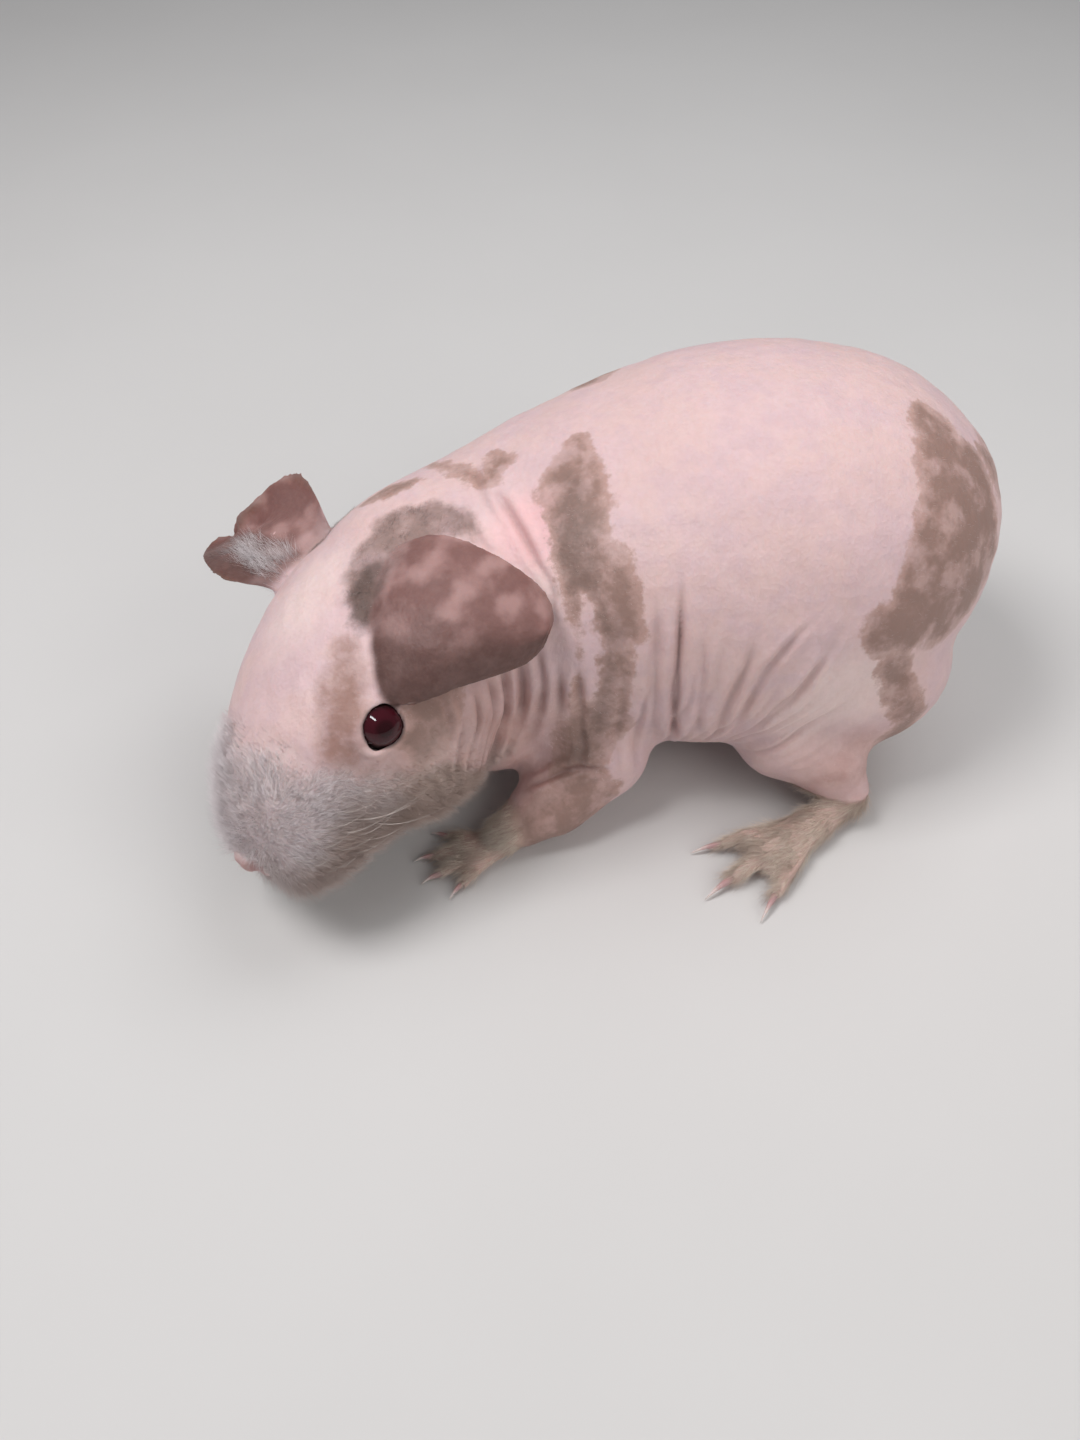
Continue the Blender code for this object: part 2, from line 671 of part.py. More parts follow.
def make_ear(side, flesh):
    """One ear: a thin, cupped leaf, thick at its root, cut clear of the head's surface."""
    ear = EARS[side]
    root = Vector(ear["root"])
    along = Vector(ear["tip_way"]).normalized()
    front = along.cross(Vector(ear["back_way"])).normalized()
    if front.x < 0:
        front.negate()
    out = along.cross(front).normalized()
    if out.dot(Vector(ear["back_way"])) < 0:
        out.negate()
    rings = []
    count = 14
    tip = EAR_SECTIONS[-1][0]
    for reach, middle, half_width in smooth_rows(EAR_SECTIONS, 2):
        s = max(reach, 0) / tip
        thickness = EAR_THICKNESS + (EAR_ROOT_THICKNESS - EAR_THICKNESS) * max(0, 1 - s * 3.5) ** 2
        thickness *= 1 - 0.45 * s**3
        arch = ear["arch"] * math.sin(math.pi * min(1, s * 1.05)) - ear["droop"] * s**2
        arch -= EAR_SINK * max(0, 1 - 5 * s) ** 2 + max(0, -reach)
        opening = min(1, 0.35 + 1.6 * s)
        ring = []
        for face in (1, -1):
            for i in range(count):
                t = math.cos(math.pi * i / (count - 1)) * face
                if i == count - 1:
                    continue
                roll = ear["front_roll"] if t > 0 else ear["rear_roll"]
                rise = arch + roll * opening * abs(t) ** 2.2
                rim = math.sqrt(max(0, 1 - t**2)) * 0.65 + 0.35 * math.sqrt(max(0, 1 - t**8))
                rise += face * thickness / 2 * rim
                rear = max(0, -t)
                deep, behind, broad = ear["notch"]
                short = deep * math.exp(-(((t + behind) / broad) ** 2)) + ear["rear_short"] * min(1, rear * 2)
                out_along = reach * ear["length"] - short * s**2
                out_front = middle * ear["skew"] + t * half_width * (1 - ear["rear_narrow"] * rear * (1 - s))
                ring.append(root + along * out_along + front * out_front + out * rise)
        rings.append([point * MM for point in ring])
    leaf = loft("ear_" + side, rings)
    leaf.data.transform(HEAD)
    skin = copy_of(flesh, "skin")
    grow = skin.modifiers.new("gap", "DISPLACE")
    grow.strength = GAP * MM
    grow.mid_level = 0
    skin = evaluated(skin, "skin")
    leaf = boolean(leaf, skin, "DIFFERENCE")
    remove(skin)
    return leaf


def paint(obj, colour, roughness):
    """Gives the piece a material of its own and moves it to the animal's collection."""
    material = bpy.data.materials.new(obj.name)
    material.use_nodes = True
    shader = material.node_tree.nodes["Principled BSDF"]
    shader.inputs["Base Color"].default_value = (*colour, 1)
    shader.inputs["Roughness"].default_value = roughness
    obj.data.materials.clear()
    obj.data.materials.append(material)
    if obj.name in CUTTERS.objects:
        CUTTERS.objects.unlink(obj)
        ANIMAL.objects.link(obj)
        obj.hide_render = False
        obj.display_type = "TEXTURED"
    obj.data.shade_smooth()
    obj.data.set_sharp_from_angle(angle=math.radians(50))


def centre_on_floor():
    """Moves the model so that its box stands on the origin."""
    low, high = Vector((1, 1, 1)), Vector((-1, -1, -1))
    for obj in ANIMAL.objects:
        for vertex in obj.data.vertices:
            low = Vector(map(min, low, vertex.co))
            high = Vector(map(max, high, vertex.co))
    shift = Matrix.Translation((-(low.x + high.x) / 2, -(low.y + high.y) / 2, 0))
    for obj in ANIMAL.objects:
        obj.data.transform(shift)


PINK = (0.62, 0.40, 0.36)
MAUVE = (0.30, 0.17, 0.15)
TAN = (0.45, 0.33, 0.25)
RUBY = (0.03, 0.004, 0.006)
HORN = (0.60, 0.36, 0.33)


def main():
    """Builds the whole animal."""
    flesh = make_flesh()
    for cutter in (toe_cutters_and_claws(), box("floor", (-200, -200, -20), (200, 200, 0))):
        flesh = boolean(flesh, cutter, "DIFFERENCE")
        remove(cutter)
    ears = [make_ear(side, flesh) for side in ("left", "right")]
    pieces = []
    for side in ("left", "right"):
        for kind, foot, foot_cut, leg_cut in (
            ("fore", FORE_FOOT, FORE_FOOT_CUT, FORE_LEG_CUT),
            ("hind", HIND_FOOT, HIND_FOOT_CUT, HIND_LEG_CUT),
        ):
            inner, outer = (foot_region(foot, foot_cut, side, wider) for wider in (0, GAP))
            piece, flesh = part_off(flesh, f"{kind}_foot_{side}", inner, outer)
            paint(piece, TAN, 0.6)
            inner, outer = (leg_region(leg_cut, side, wider) for wider in (0, GAP))
            piece, flesh = part_off(flesh, f"{kind}_leg_{side}", inner, outer)
            paint(piece, PINK, 0.5)
    head, flesh = part_off(flesh, "head", head_region(0), head_region(GAP))
    inner = box("neck_region", (-150, -90, -5), (NECK_CUT, 90, 150))
    outer = box("neck_region", (-150, -90, -5), (NECK_CUT + GAP, 90, 150))
    neck, torso = part_off(flesh, "neck", inner, outer)
    torso.name = "torso"
    for side in ("left", "right"):
        place = (EYE_PLACE[0], EYE_PLACE[1] * (1 if side == "left" else -1), EYE_PLACE[2])
        socket = ellipsoid("socket", place, (EYE_RADIUS + GAP,) * 3, HEAD, 20)
        head = boolean(head, socket, "DIFFERENCE")
        remove(socket)
        eye = ellipsoid("eye_" + side, place, (EYE_RADIUS,) * 3, HEAD, 20)
        paint(eye, RUBY, 0.08)
    for piece in (head, neck, torso):
        paint(piece, PINK, 0.5)
    for ear in ears:
        paint(ear, MAUVE, 0.55)
    for obj in list(ANIMAL.objects):
        if obj.name.startswith("claw_"):
            paint(obj, HORN, 0.35)
    centre_on_floor()


main()
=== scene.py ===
"""The looks of a skinny pig, the hairless guinea pig, life size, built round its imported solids.

Metres, +Z up, the rump at +X and the animal's left side at -Y, as in the frame. Sizes in the classes
are in millimetres, as an animal is measured, and are turned into metres where a mesh is made.
One skin covers the whole animal. Eyes, claws, whiskers and the short hair are pieces of their own.
"""

import itertools
import json
import logging
import math
from dataclasses import dataclass, field, replace
from enum import Enum
from typing import Any, Callable, Sequence

import bpy
import numpy as np
from mathutils import Matrix, Vector
from mathutils.bvhtree import BVHTree

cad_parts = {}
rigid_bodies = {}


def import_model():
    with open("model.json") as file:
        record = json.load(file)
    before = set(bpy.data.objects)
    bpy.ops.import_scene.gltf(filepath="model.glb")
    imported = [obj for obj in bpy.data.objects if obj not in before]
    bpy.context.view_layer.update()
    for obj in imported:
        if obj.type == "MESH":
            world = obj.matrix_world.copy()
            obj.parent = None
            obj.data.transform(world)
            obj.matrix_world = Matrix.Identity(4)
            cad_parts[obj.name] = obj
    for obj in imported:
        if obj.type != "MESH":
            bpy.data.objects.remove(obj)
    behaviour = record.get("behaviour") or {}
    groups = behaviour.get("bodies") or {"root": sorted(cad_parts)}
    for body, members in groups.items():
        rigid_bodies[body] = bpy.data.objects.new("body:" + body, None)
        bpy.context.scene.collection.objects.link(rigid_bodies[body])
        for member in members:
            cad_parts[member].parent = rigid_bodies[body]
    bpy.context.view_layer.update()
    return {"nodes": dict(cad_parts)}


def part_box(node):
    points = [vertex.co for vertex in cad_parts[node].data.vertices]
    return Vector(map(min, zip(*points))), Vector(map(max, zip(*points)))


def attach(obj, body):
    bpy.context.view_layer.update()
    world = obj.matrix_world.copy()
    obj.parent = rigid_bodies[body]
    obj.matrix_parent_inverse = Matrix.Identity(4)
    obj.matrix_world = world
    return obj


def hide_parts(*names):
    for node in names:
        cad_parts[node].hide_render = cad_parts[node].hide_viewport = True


for spare in list(bpy.data.objects):
    bpy.data.objects.remove(spare)

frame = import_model()

LOG = logging.getLogger("skinny_pig")
MM = 0.001
Point = tuple[float, float, float]
Ball = tuple[float, float, float, float]
Colour = tuple[float, float, float]
Faces = Sequence[Sequence[int]]


class Side(Enum):
    """The animal's own sides, with the sign of the head frame's Y on each."""

    LEFT = 1
    RIGHT = -1

    @property
    def word(self) -> str:
        """The side as it stands in the nodes' names."""
        return self.name.lower()


class Axes(Enum):
    """Which axes a place on the animal is measured in."""

    BODY = "body"
    HEAD = "head"


@dataclass(frozen=True)
class HeadAxes:
    """The head's own axes: forward, to its left, and up, from a place in the middle of the skull.

    The turns are those of the solids. The place is worked out from the two eyes.
    """

    yaw: float = 47.0
    pitch: float = 21.0
    roll: float = 27.0
    eye_forward: float = 38.5
    eye_height: float = 5.5

    def turn(self) -> np.ndarray:
        """The head's axes as the columns of a matrix."""
        matrix = (
            Matrix.Rotation(math.radians(180 + self.yaw), 3, "Z")
            @ Matrix.Rotation(math.radians(self.pitch), 3, "Y")
            @ Matrix.Rotation(math.radians(self.roll), 3, "X")
        )
        return np.array(matrix)

    def origin(self) -> np.ndarray:
        """Where the head's axes start, in millimetres in the frame."""
        middle = (eye_centre(Side.LEFT) + eye_centre(Side.RIGHT)) / 2
        return middle - self.turn() @ np.array((self.eye_forward, 0.0, self.eye_height))

    def to_head(self, places: np.ndarray) -> np.ndarray:
        """Places in the frame, measured in the head's axes.

        Args:
            places: rows of x, y, z in millimetres.

        Returns:
            The same places as rows of forward, left and up.
        """
        return (places - self.origin()) @ self.turn()

    def to_body(self, places: np.ndarray) -> np.ndarray:
        """Places measured in the head's axes, in the frame.

        Args:
            places: rows of forward, left and up in millimetres.

        Returns:
            The same places as rows of x, y, z.
        """
        return np.asarray(places, float) @ self.turn().T + self.origin()


def eye_centre(side: Side) -> np.ndarray:
    """The middle of an eye in millimetres in the frame."""
    low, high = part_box("eye_" + side.word)
    return np.array((low + high) / 2) / MM


HEAD = HeadAxes()


def smooth_step(values: np.ndarray, low: float, high: float) -> np.ndarray:
    """Rises softly from 0 at low to 1 at high, or falls where low is the larger."""
    t = np.clip((values - low) / (high - low), 0, 1)
    return t * t * (3 - 2 * t)


def bell(values: np.ndarray, width: float) -> np.ndarray:
    """Falls softly from 1 at 0 to nearly 0 at twice the width, on both sides."""
    return np.exp(-((values / width) ** 2))


def unit(vectors: np.ndarray) -> np.ndarray:
    """Each row at length 1."""
    return vectors / np.maximum(np.linalg.norm(vectors, axis=-1, keepdims=True), 1e-9)


def ripple(places: np.ndarray, size: float, seed: int, waves: int = 10) -> np.ndarray:
    """A soft uneven field with no grid in it, from waves that cross in all directions.

    Args:
        places: rows of x, y, z in millimetres.
        size: the breadth of one swell in millimetres.
        seed: which field it is.
        waves: how many waves are added.

    Returns:
        One number a place, mostly between -1 and 1.
    """
    rng = np.random.default_rng(seed)
    ways = unit(rng.normal(size=(waves, 3)))
    lengths = 2 * size * rng.uniform(0.6, 1.7, waves)
    starts = rng.uniform(0, 2 * math.pi, waves)
    total = np.zeros(len(places))
    for way, length, start in zip(ways, lengths, starts):
        total += np.sin(places @ way * (2 * math.pi / length) + start)
    return total / math.sqrt(waves) * 0.8


def smooth_path(points: np.ndarray, steps: int = 4) -> np.ndarray:
    """A smooth curve through a few points.

    Args:
        points: rows of x, y, z.
        steps: how many lengths each stretch is divided into.

    Returns:
        The curve's own points.
    """
    padded = np.vstack([2 * points[0] - points[1], points, 2 * points[-1] - points[-2]])
    out = []
    for p0, p1, p2, p3 in zip(padded, padded[1:], padded[2:], padded[3:]):
        for t in np.arange(steps) / steps:
            bend = (2 * p0 - 5 * p1 + 4 * p2 - p3) * t**2 + (3 * p1 - p0 - 3 * p2 + p3) * t**3
            out.append(p1 + 0.5 * ((p2 - p0) * t + bend))
    return np.vstack([*out, points[-1]])


def along_path(places: np.ndarray, path: np.ndarray) -> tuple[np.ndarray, np.ndarray]:
    """How far places lie from a path, and which share of its length is nearest them.

    Args:
        places: rows of x, y, z.
        path: the path's points in the same axes.

    Returns:
        The distances and the shares.
    """
    lengths = np.linalg.norm(np.diff(path, axis=0), axis=1)
    starts = np.concatenate(([0], np.cumsum(lengths)))
    best = np.full(len(places), 1e9)
    share = np.zeros(len(places))
    for near, far, length, start in zip(path, path[1:], lengths, starts):
        way = (far - near) / length
        t = np.clip((places - near) @ way, 0, length)
        gap = np.linalg.norm(places - near - t[:, None] * way, axis=1)
        closer = gap < best
        best[closer] = gap[closer]
        share[closer] = (start + t[closer]) / starts[-1]
    return best, share


@dataclass(frozen=True)
class EarAxes:
    """An ear's own axes, and the leaf it is cut to, as the solids have them."""

    root: Point
    tip_way: Point
    back_way: Point
    skew: float
    reaches: tuple[float, ...] = (-6.0, 2.0, 7.0, 12.5, 18.0, 23.5, 28.5, 32.0, 35.0)
    middles: tuple[float, ...] = (0.5, 0.5, 0.7, 0.8, 0.0, -2.6, -4.4, -5.4, -6.1)
    halves: tuple[float, ...] = (7.0, 12.0, 15.5, 17.0, 16.0, 13.0, 10.2, 7.6, 2.0)

    def ways(self) -> tuple[np.ndarray, np.ndarray, np.ndarray]:
        """The ways in which an ear is measured.

        Returns:
            Towards the tip, towards the front edge and out of the back, in the head's axes.
        """
        tip, back = unit(np.array(self.tip_way)), np.array(self.back_way)
        front = unit(np.cross(tip, back))
        front = front if front[0] > 0 else -front
        out = unit(np.cross(tip, front))
        return tip, front, out if out @ back > 0 else -out

    def measure(self, local: np.ndarray) -> tuple[np.ndarray, np.ndarray, np.ndarray, np.ndarray]:
        """Where points lie on the leaf.

        Args:
            local: the points in the head's axes, in millimetres.

        Returns:
            How far each is from the root, how far ahead, and the leaf's middle and half width there.
        """
        tip, front, _ = self.ways()
        away = local - np.array(self.root)
        reach = away @ tip
        middle = np.interp(reach, self.reaches, self.middles) * self.skew
        return reach, away @ front, middle, np.interp(reach, self.reaches, self.halves)


EARS = {
    Side.LEFT: EarAxes((20.0, 14.0, 21.0), (-0.16, 0.74, -0.66), (0.18, 0.66, 0.73), 1.0),
    Side.RIGHT: EarAxes((13.5, -15.0, 18.5), (0.02, -0.97, 0.24), (-0.20, 0.22, 0.95), -0.4),
}


@dataclass(frozen=True)
class Patch:
    """A marking: a row of balls that a smooth tube joins. What lies in the tube is marked."""

    balls: tuple[Ball, ...]
    axes: Axes = Axes.BODY

    def depth(self, places: np.ndarray, local: np.ndarray) -> np.ndarray:
        """How deep places lie inside the patch.

        Args:
            places: rows of x, y, z in the frame, in millimetres.
            local: the same places in the head's axes.

        Returns:
            Millimetres, above 0 inside the patch and below 0 outside it.
        """
        spots = np.array(self.balls)
        where = local if self.axes is Axes.HEAD else places
        best = np.full(len(where), -1e9)
        for near, far in zip(spots, spots[1:]):
            way = far[:3] - near[:3]
            t = np.clip((where - near[:3]) @ way / max(way @ way, 1e-9), 0, 1)
            gap = np.linalg.norm(where - near[:3] - t[:, None] * way, axis=1)
            best = np.maximum(best, near[3] + (far[3] - near[3]) * t - gap)
        return best


@dataclass(frozen=True)
class Crease:
    """A fold of the skin: a thin groove along a path, a soft roll each side, and painted shade in and by
    it.
    """

    path: tuple[Point, ...]
    depth: float = 0.7
    width: float = 0.65
    roll: float = 0.3
    # How dark the painted shade in the groove is.
    line: float = 1.0
    mirrored: bool = False
    roll_gap: float = 1.7
    line_width: float = 0.55
    shade_width: float = 1.5

    def press(self, places: np.ndarray) -> tuple[np.ndarray, np.ndarray, np.ndarray]:
        """How far the fold moves the skin, and how dark its painted shade is, in the groove and beside
        it.

        Args:
            places: rows of x, y, z in the frame, in millimetres.

        Returns:
            Millimetres along the normal, and two numbers from 0 to 1.
        """
        where = places * (1, -1, 1) if self.mirrored else places
        path = smooth_path(np.array(self.path))
        reach = 8 * self.width
        near = np.all((where > path.min(0) - reach) & (where < path.max(0) + reach), axis=1)
        shift, furrow_shade, shade = np.zeros((3, len(where)))
        spots = where[near]
        seed = len(self.path) + int(abs(path[0, 0]) * 7)
        gap, share = along_path(spots, path)
        gap = np.abs(gap + ripple(spots, 8, seed) * 0.3)
        fade = smooth_step(share, 0, 0.3) * smooth_step(share, 1, 0.75)
        fade = np.clip(fade * (0.85 + 0.3 * ripple(spots, 7, seed + 1)), 0, 1)
        dip = bell(gap, self.width)
        swell = bell(gap - self.roll_gap, 1.0)
        shift[near] = (self.roll * swell - self.depth * dip) * fade
        furrow_shade[near] = bell(gap, self.line_width) * fade * self.line
        shade[near] = bell(gap, self.shade_width) * fade * (0.25 + 0.6 * self.line)
        return shift, furrow_shade, shade


@dataclass(frozen=True)
class Fan:
    """Fine folds that spread up the flank from the groin, and run straight down in front of it."""

    middle: tuple[float, float] = (12.5, 4.0)
    straight_gap: float = 4.3
    turn_gap: float = 5.6
    depth: float = 0.6
    fold: float = 0.18
    line_width: float = 0.10
    top: float = 60.0

    def press(
        self, places: np.ndarray, normals: np.ndarray
    ) -> tuple[np.ndarray, np.ndarray, np.ndarray]:
        """How far the fine folds move the skin, and how dark their painted shade is, in each and beside
        it.

        Args:
            places: rows of x, y, z in the frame, in millimetres.
            normals: the skin's normals there.

        Returns:
            Millimetres along the normal, and two numbers from 0 to 1.
        """
        x, _, z = places.T
        turn = np.degrees(np.arctan2(x - self.middle[0], np.maximum(z - self.middle[1], 1.0)))
        which = np.where(turn > 0, turn / self.turn_gap, (x - self.middle[0]) / self.straight_gap)
        which = which + 0.30 * ripple(places, 15, 31) + 0.10 * ripple(places, 5, 32)
        number = np.round(which)
        gap = np.abs(which - number)
        strong = 0.62 + 0.38 * np.sin(number * 2.4 + 1.0)
        top = self.top + 9.0 * np.sin(number * 1.7)
        side = smooth_step(np.abs(normals[:, 1]), 0.35, 0.75)
        reach = smooth_step(z, 17.0, 26.0) * smooth_step(z, top, top - 24.0)
        along = smooth_step(x, -16.0, -8.0) * smooth_step(x, 52.0, 34.0)
        amount = strong * side * reach * along
        dip = bell(gap, self.fold)
        swell = bell(gap - 0.42, 0.16)
        shift = (0.5 * swell - dip) * self.depth * amount
        return shift, bell(gap, self.line_width) * amount * 0.12, dip * amount * 0.5


@dataclass(frozen=True)
class Muzzle:
    """The nose, the lips and the nostrils, in the head's axes. Sizes across come before heights."""

    pad_height: float = -2.2
    pad_size: tuple[float, float] = (5.2, 3.6)
    pad_from: float = 66.0
    mouth_height: float = -14.0
    mouth_front: float = 72.0
    mouth_slope: float = 0.12
    slot_start: tuple[float, float] = (2.0, -3.2)
    slot_end: tuple[float, float] = (4.0, -0.6)
    slot_from: float = 68.0
    far: float = 9.0

    def above_mouth(self, local: np.ndarray) -> np.ndarray:
        """How far points lie above the line of the mouth, in millimetres."""
        return local[:, 2] - self.mouth_height + self.mouth_slope * (self.mouth_front - local[:, 0])

    def bare(self, local: np.ndarray) -> np.ndarray:
        """Where the skin of the nose and the lips is bare.

        Args:
            local: the points in the head's axes.

        Returns:
            One number a point from 0 to 1.
        """
        forward, across, height = local.T
        wide, high = self.pad_size
        pad = np.hypot(across / wide, (height - self.pad_height) / high)
        nose = smooth_step(pad, 1.25, 0.75) * (forward > self.pad_from)
        over = self.above_mouth(local)
        lips = bell(over, 1.0) * smooth_step(forward, 56.0, 60.0)
        cleft = bell(across, 0.8) * (height < -3.5) * (over > 0) * (forward > 62)
        return np.maximum.reduce((nose, lips * 0.9, cleft * 0.7))

    def to_nostril(self, local: np.ndarray) -> np.ndarray:
        """How far points lie from the slot of a nostril.

        Args:
            local: the points in the head's axes.

        Returns:
            Millimetres, and a number that is large enough behind the nose.
        """
        way = np.subtract(self.slot_end, self.slot_start)
        front = np.column_stack((np.abs(local[:, 1]), local[:, 2])) - self.slot_start
        share = np.clip(front @ way / (way @ way), 0, 1)
        gap = np.linalg.norm(front - share[:, None] * way, axis=1)
        return np.where(local[:, 0] > self.slot_from, gap, self.far)

    def mouth(self, local: np.ndarray) -> np.ndarray:
        """How dark the painted shade in the line of the mouth is, from 0 to 1."""
        return bell(self.above_mouth(local), 0.45) * smooth_step(local[:, 0], 57.0, 61.0) * 0.75


MUZZLE = Muzzle()
ENDS = ("fore", "hind")
EAR_NODES = ("ear_left", "ear_right")
FLESH = ("head", "neck", "torso") + EAR_NODES + tuple(
    f"{end}_{part}_{side.word}" for end, part, side in itertools.product(ENDS, ("leg", "foot"), Side)
)
FEET = tuple(name for name in FLESH if "foot" in name)

SADDLE = Patch(
    (
        (-6.0, -7.0, 80.0, 4.5),
        (-8.1, -14.7, 77.7, 6.8),
        (-7.8, -20.7, 75.2, 6.6),
        (-7.8, -25.5, 71.9, 6.0),
        (-6.2, -29.8, 68.0, 6.6),
        (-4.6, -33.4, 63.4, 7.0),
        (-4.6, -36.3, 57.9, 5.8),
        (-4.2, -38.0, 51.1, 5.4),
        (-5.0, -38.0, 42.3, 6.2),
        (-4.6, -37.5, 35.1, 6.8),
        (-8.9, -38.3, 28.4, 6.8),
        (-10.0, -39.9, 21.5, 6.6),
        (-6.5, -39.0, 15.0, 6.2),
        (-13.0, -42.0, 11.0, 7.5),
        (-22.0, -45.0, 8.0, 6.0),
    )
)
SADDLE_CORE = Patch(
    (
        (-8.1, -13.0, 78.4, 2.6),
        (-8.6, -20.7, 75.2, 4.4),
        (-8.9, -25.5, 71.9, 4.2),
        (-8.4, -29.8, 68.0, 3.6),
        (-6.5, -33.4, 63.4, 3.8),
        (-5.0, -36.3, 57.9, 4.0),
        (-5.2, -38.0, 50.1, 2.4),
        (-5.6, -38.0, 42.0, 1.6),
        (-5.0, -38.4, 34.0, 3.2),
        (-9.0, -39.0, 25.0, 3.4),
    )
)
BROWN_PATCHES = (
    SADDLE,
    Patch(((-1.2, -29.8, 69.4, 4.2), (-1.0, -35.4, 60.3, 4.4))),
    Patch(((-21.0, -0.4, 74.5, 3.4), (-22.5, -4.5, 74.0, 1.6))),
    Patch(((-34.0, 9.5, 68.0, 1.6), (-28.4, 1.0, 72.6, 2.2), (-23.9, -5.2, 73.6, 1.6))),
    Patch(((-50.0, 3.0, 67.5, 3.0), (-42.9, 1.2, 68.9, 3.6), (-37.6, 2.1, 70.2, 2.4))),
    # Brown behind the left eye, which also stands in for the shadow that the ear casts there: partly
    # painted shadow.
    Patch(((38.9, 24.6, 1.6, 3.0), (36.4, 24.8, -3.3, 5.0), (30.0, 25.0, 1.5, 6.0)), Axes.HEAD),
    Patch(
        (
            (63.0, -7.0, 84.0, 2.5),
            (64.5, -12.0, 81.5, 6.5),
            (65.0, -19.0, 79.0, 7.5),
            (65.5, -25.0, 74.5, 9.5),
            (63.5, -30.5, 69.5, 9.8),
            (60.0, -35.0, 63.0, 9.6),
            (57.5, -38.0, 58.0, 8.8),
            (51.5, -40.3, 57.5, 6.6),
        )
    ),
    Patch(((72.0, -16.6, 75.1, 7.0), (73.0, -27.0, 62.0, 9.0), (66.0, -35.0, 54.0, 7.5))),
    # A thin strip down the front of the thigh, in the brown of the rump's marking: painted shade along
    # the thigh's edge.
    Patch(
        (
            (54.5, -41.4, 47.0, 3.8),
            (58.4, -41.0, 37.0, 4.0),
            (61.8, -40.0, 29.7, 4.2),
            (61.3, -38.5, 20.7, 4.0),
        )
    ),
    # The far side, which completes the animal.
    Patch(((76.0, -8.0, 66.0, 9.0), (77.0, 6.0, 58.0, 8.0), (70.0, 20.0, 55.0, 6.0))),
    Patch(((2.0, 22.0, 76.0, 6.0), (4.0, 31.0, 66.0, 9.0), (-2.0, 36.0, 52.0, 8.0))),
    Patch(((40.0, -20.0, 12.0, 5.0), (34.0, -21.0, 15.0, 5.5), (27.0, -22.0, 14.0, 5.0)), Axes.HEAD),
    Patch(((44.0, 38.0, 48.0, 7.0), (50.0, 33.0, 60.0, 5.0))),
)
GREY_PATCHES = (
    SADDLE_CORE,
    Patch(
        (
            (24.5, 16.5, 19.5, 3.2),
            (20.0, 14.9, 20.9, 5.8),
            (15.2, 13.4, 21.0, 7.4),
            (10.1, 12.8, 20.6, 8.0),
            (5.1, 11.8, 19.6, 7.6),
            (0.2, 13.4, 17.6, 5.6),
            (-2.4, 18.0, 14.6, 3.6),
        ),
        Axes.HEAD,
    ),
    Patch(((12.0, -14.0, 20.0, 4.5), (4.0, -12.0, 19.5, 4.0)), Axes.HEAD),
    Patch(((3.6, 28.0, 70.0, 3.0), (1.0, 34.0, 58.0, 3.4))),
)
TAN_PATCHES = (
    Patch(
        (
            (31.8, 17.1, 19.1, 2.8),
            (38.0, 18.3, 15.6, 4.2),
            (42.8, 19.2, 12.4, 4.6),
            (47.0, 19.2, 8.8, 4.4),
            (50.0, 19.0, 5.0, 3.6),
            (48.5, 20.5, 1.0, 2.2),
        ),
        Axes.HEAD,
    ),
    Patch(((45.0, -46.0, 18.0, 0.6), (52.0, -43.0, 16.0, 1.2), (57.0, -38.0, 12.0, 2.0))),
)
# Where a marking is broken by bare pink.
PINK_PATCHES = (
    Patch(((-8.2, -31.5, 65.5, 0.9), (-7.9, -33.1, 62.6, 1.5), (-7.6, -35.1, 58.6, 1.9),
           (-7.3, -37.1, 51.5, 2.3), (-7.8, -37.6, 44.0, 2.0))),
)
# Where the skin is fairer than on the back, with no edge to it.
FAIR_PATCHES = (
    Patch(((44.3, -42.5, 41.0, 13.0), (38.0, -43.0, 35.0, 9.0))),
    Patch(((20.0, 2.0, 22.0, 6.0), (29.0, 2.0, 22.0, 8.0), (36.0, 2.0, 21.0, 3.0)), Axes.HEAD),
    Patch(((-20.0, -18.0, 71.0, 7.0), (-17.0, -27.0, 65.0, 6.0))),
)
# Painted shade, brown and with no edge, in low and tucked places: the throat, under the shoulder, the
# hock and low on the cheeks.
WARM_SHADE_PATCHES = (
    Patch(((-38.0, -46.0, 46.0, 12.0), (-31.0, -42.0, 38.0, 13.0), (-25.0, -37.0, 32.0, 12.0))),
    Patch(((-20.0, -40.0, 14.0, 14.0), (-34.0, -47.0, 8.0, 12.0))),
    Patch(((45.0, -45.0, 17.0, 8.0), (53.0, -41.0, 18.0, 10.0), (58.0, -36.0, 14.0, 12.0))),
    Patch(((36.0, 22.0, -6.0, 12.0), (46.0, 20.0, -8.0, 9.0)), Axes.HEAD),
    Patch(((36.0, -22.0, -6.0, 12.0), (46.0, -20.0, -8.0, 9.0)), Axes.HEAD),
)
DARK_PATCHES = (
    Patch(((25.5, 16.9, 19.0, 2.4), (20.5, 15.6, 20.9, 4.2), (16.0, 14.0, 21.2, 3.2)), Axes.HEAD),
)

# The fields that the hair takes over from the skin at its root, markings and painted shade, and those
# that only the skin shows.
MARKINGS_AND_SHADE = ("brown", "grey", "dark", "tanned", "ear_tint", "ear_rim_and_shade", "rim", "nose", "furrow_shade", "shade",
            "blush", "fair", "warm_shade", "tan")
SKIN_MARKINGS = ("down", "sandy")

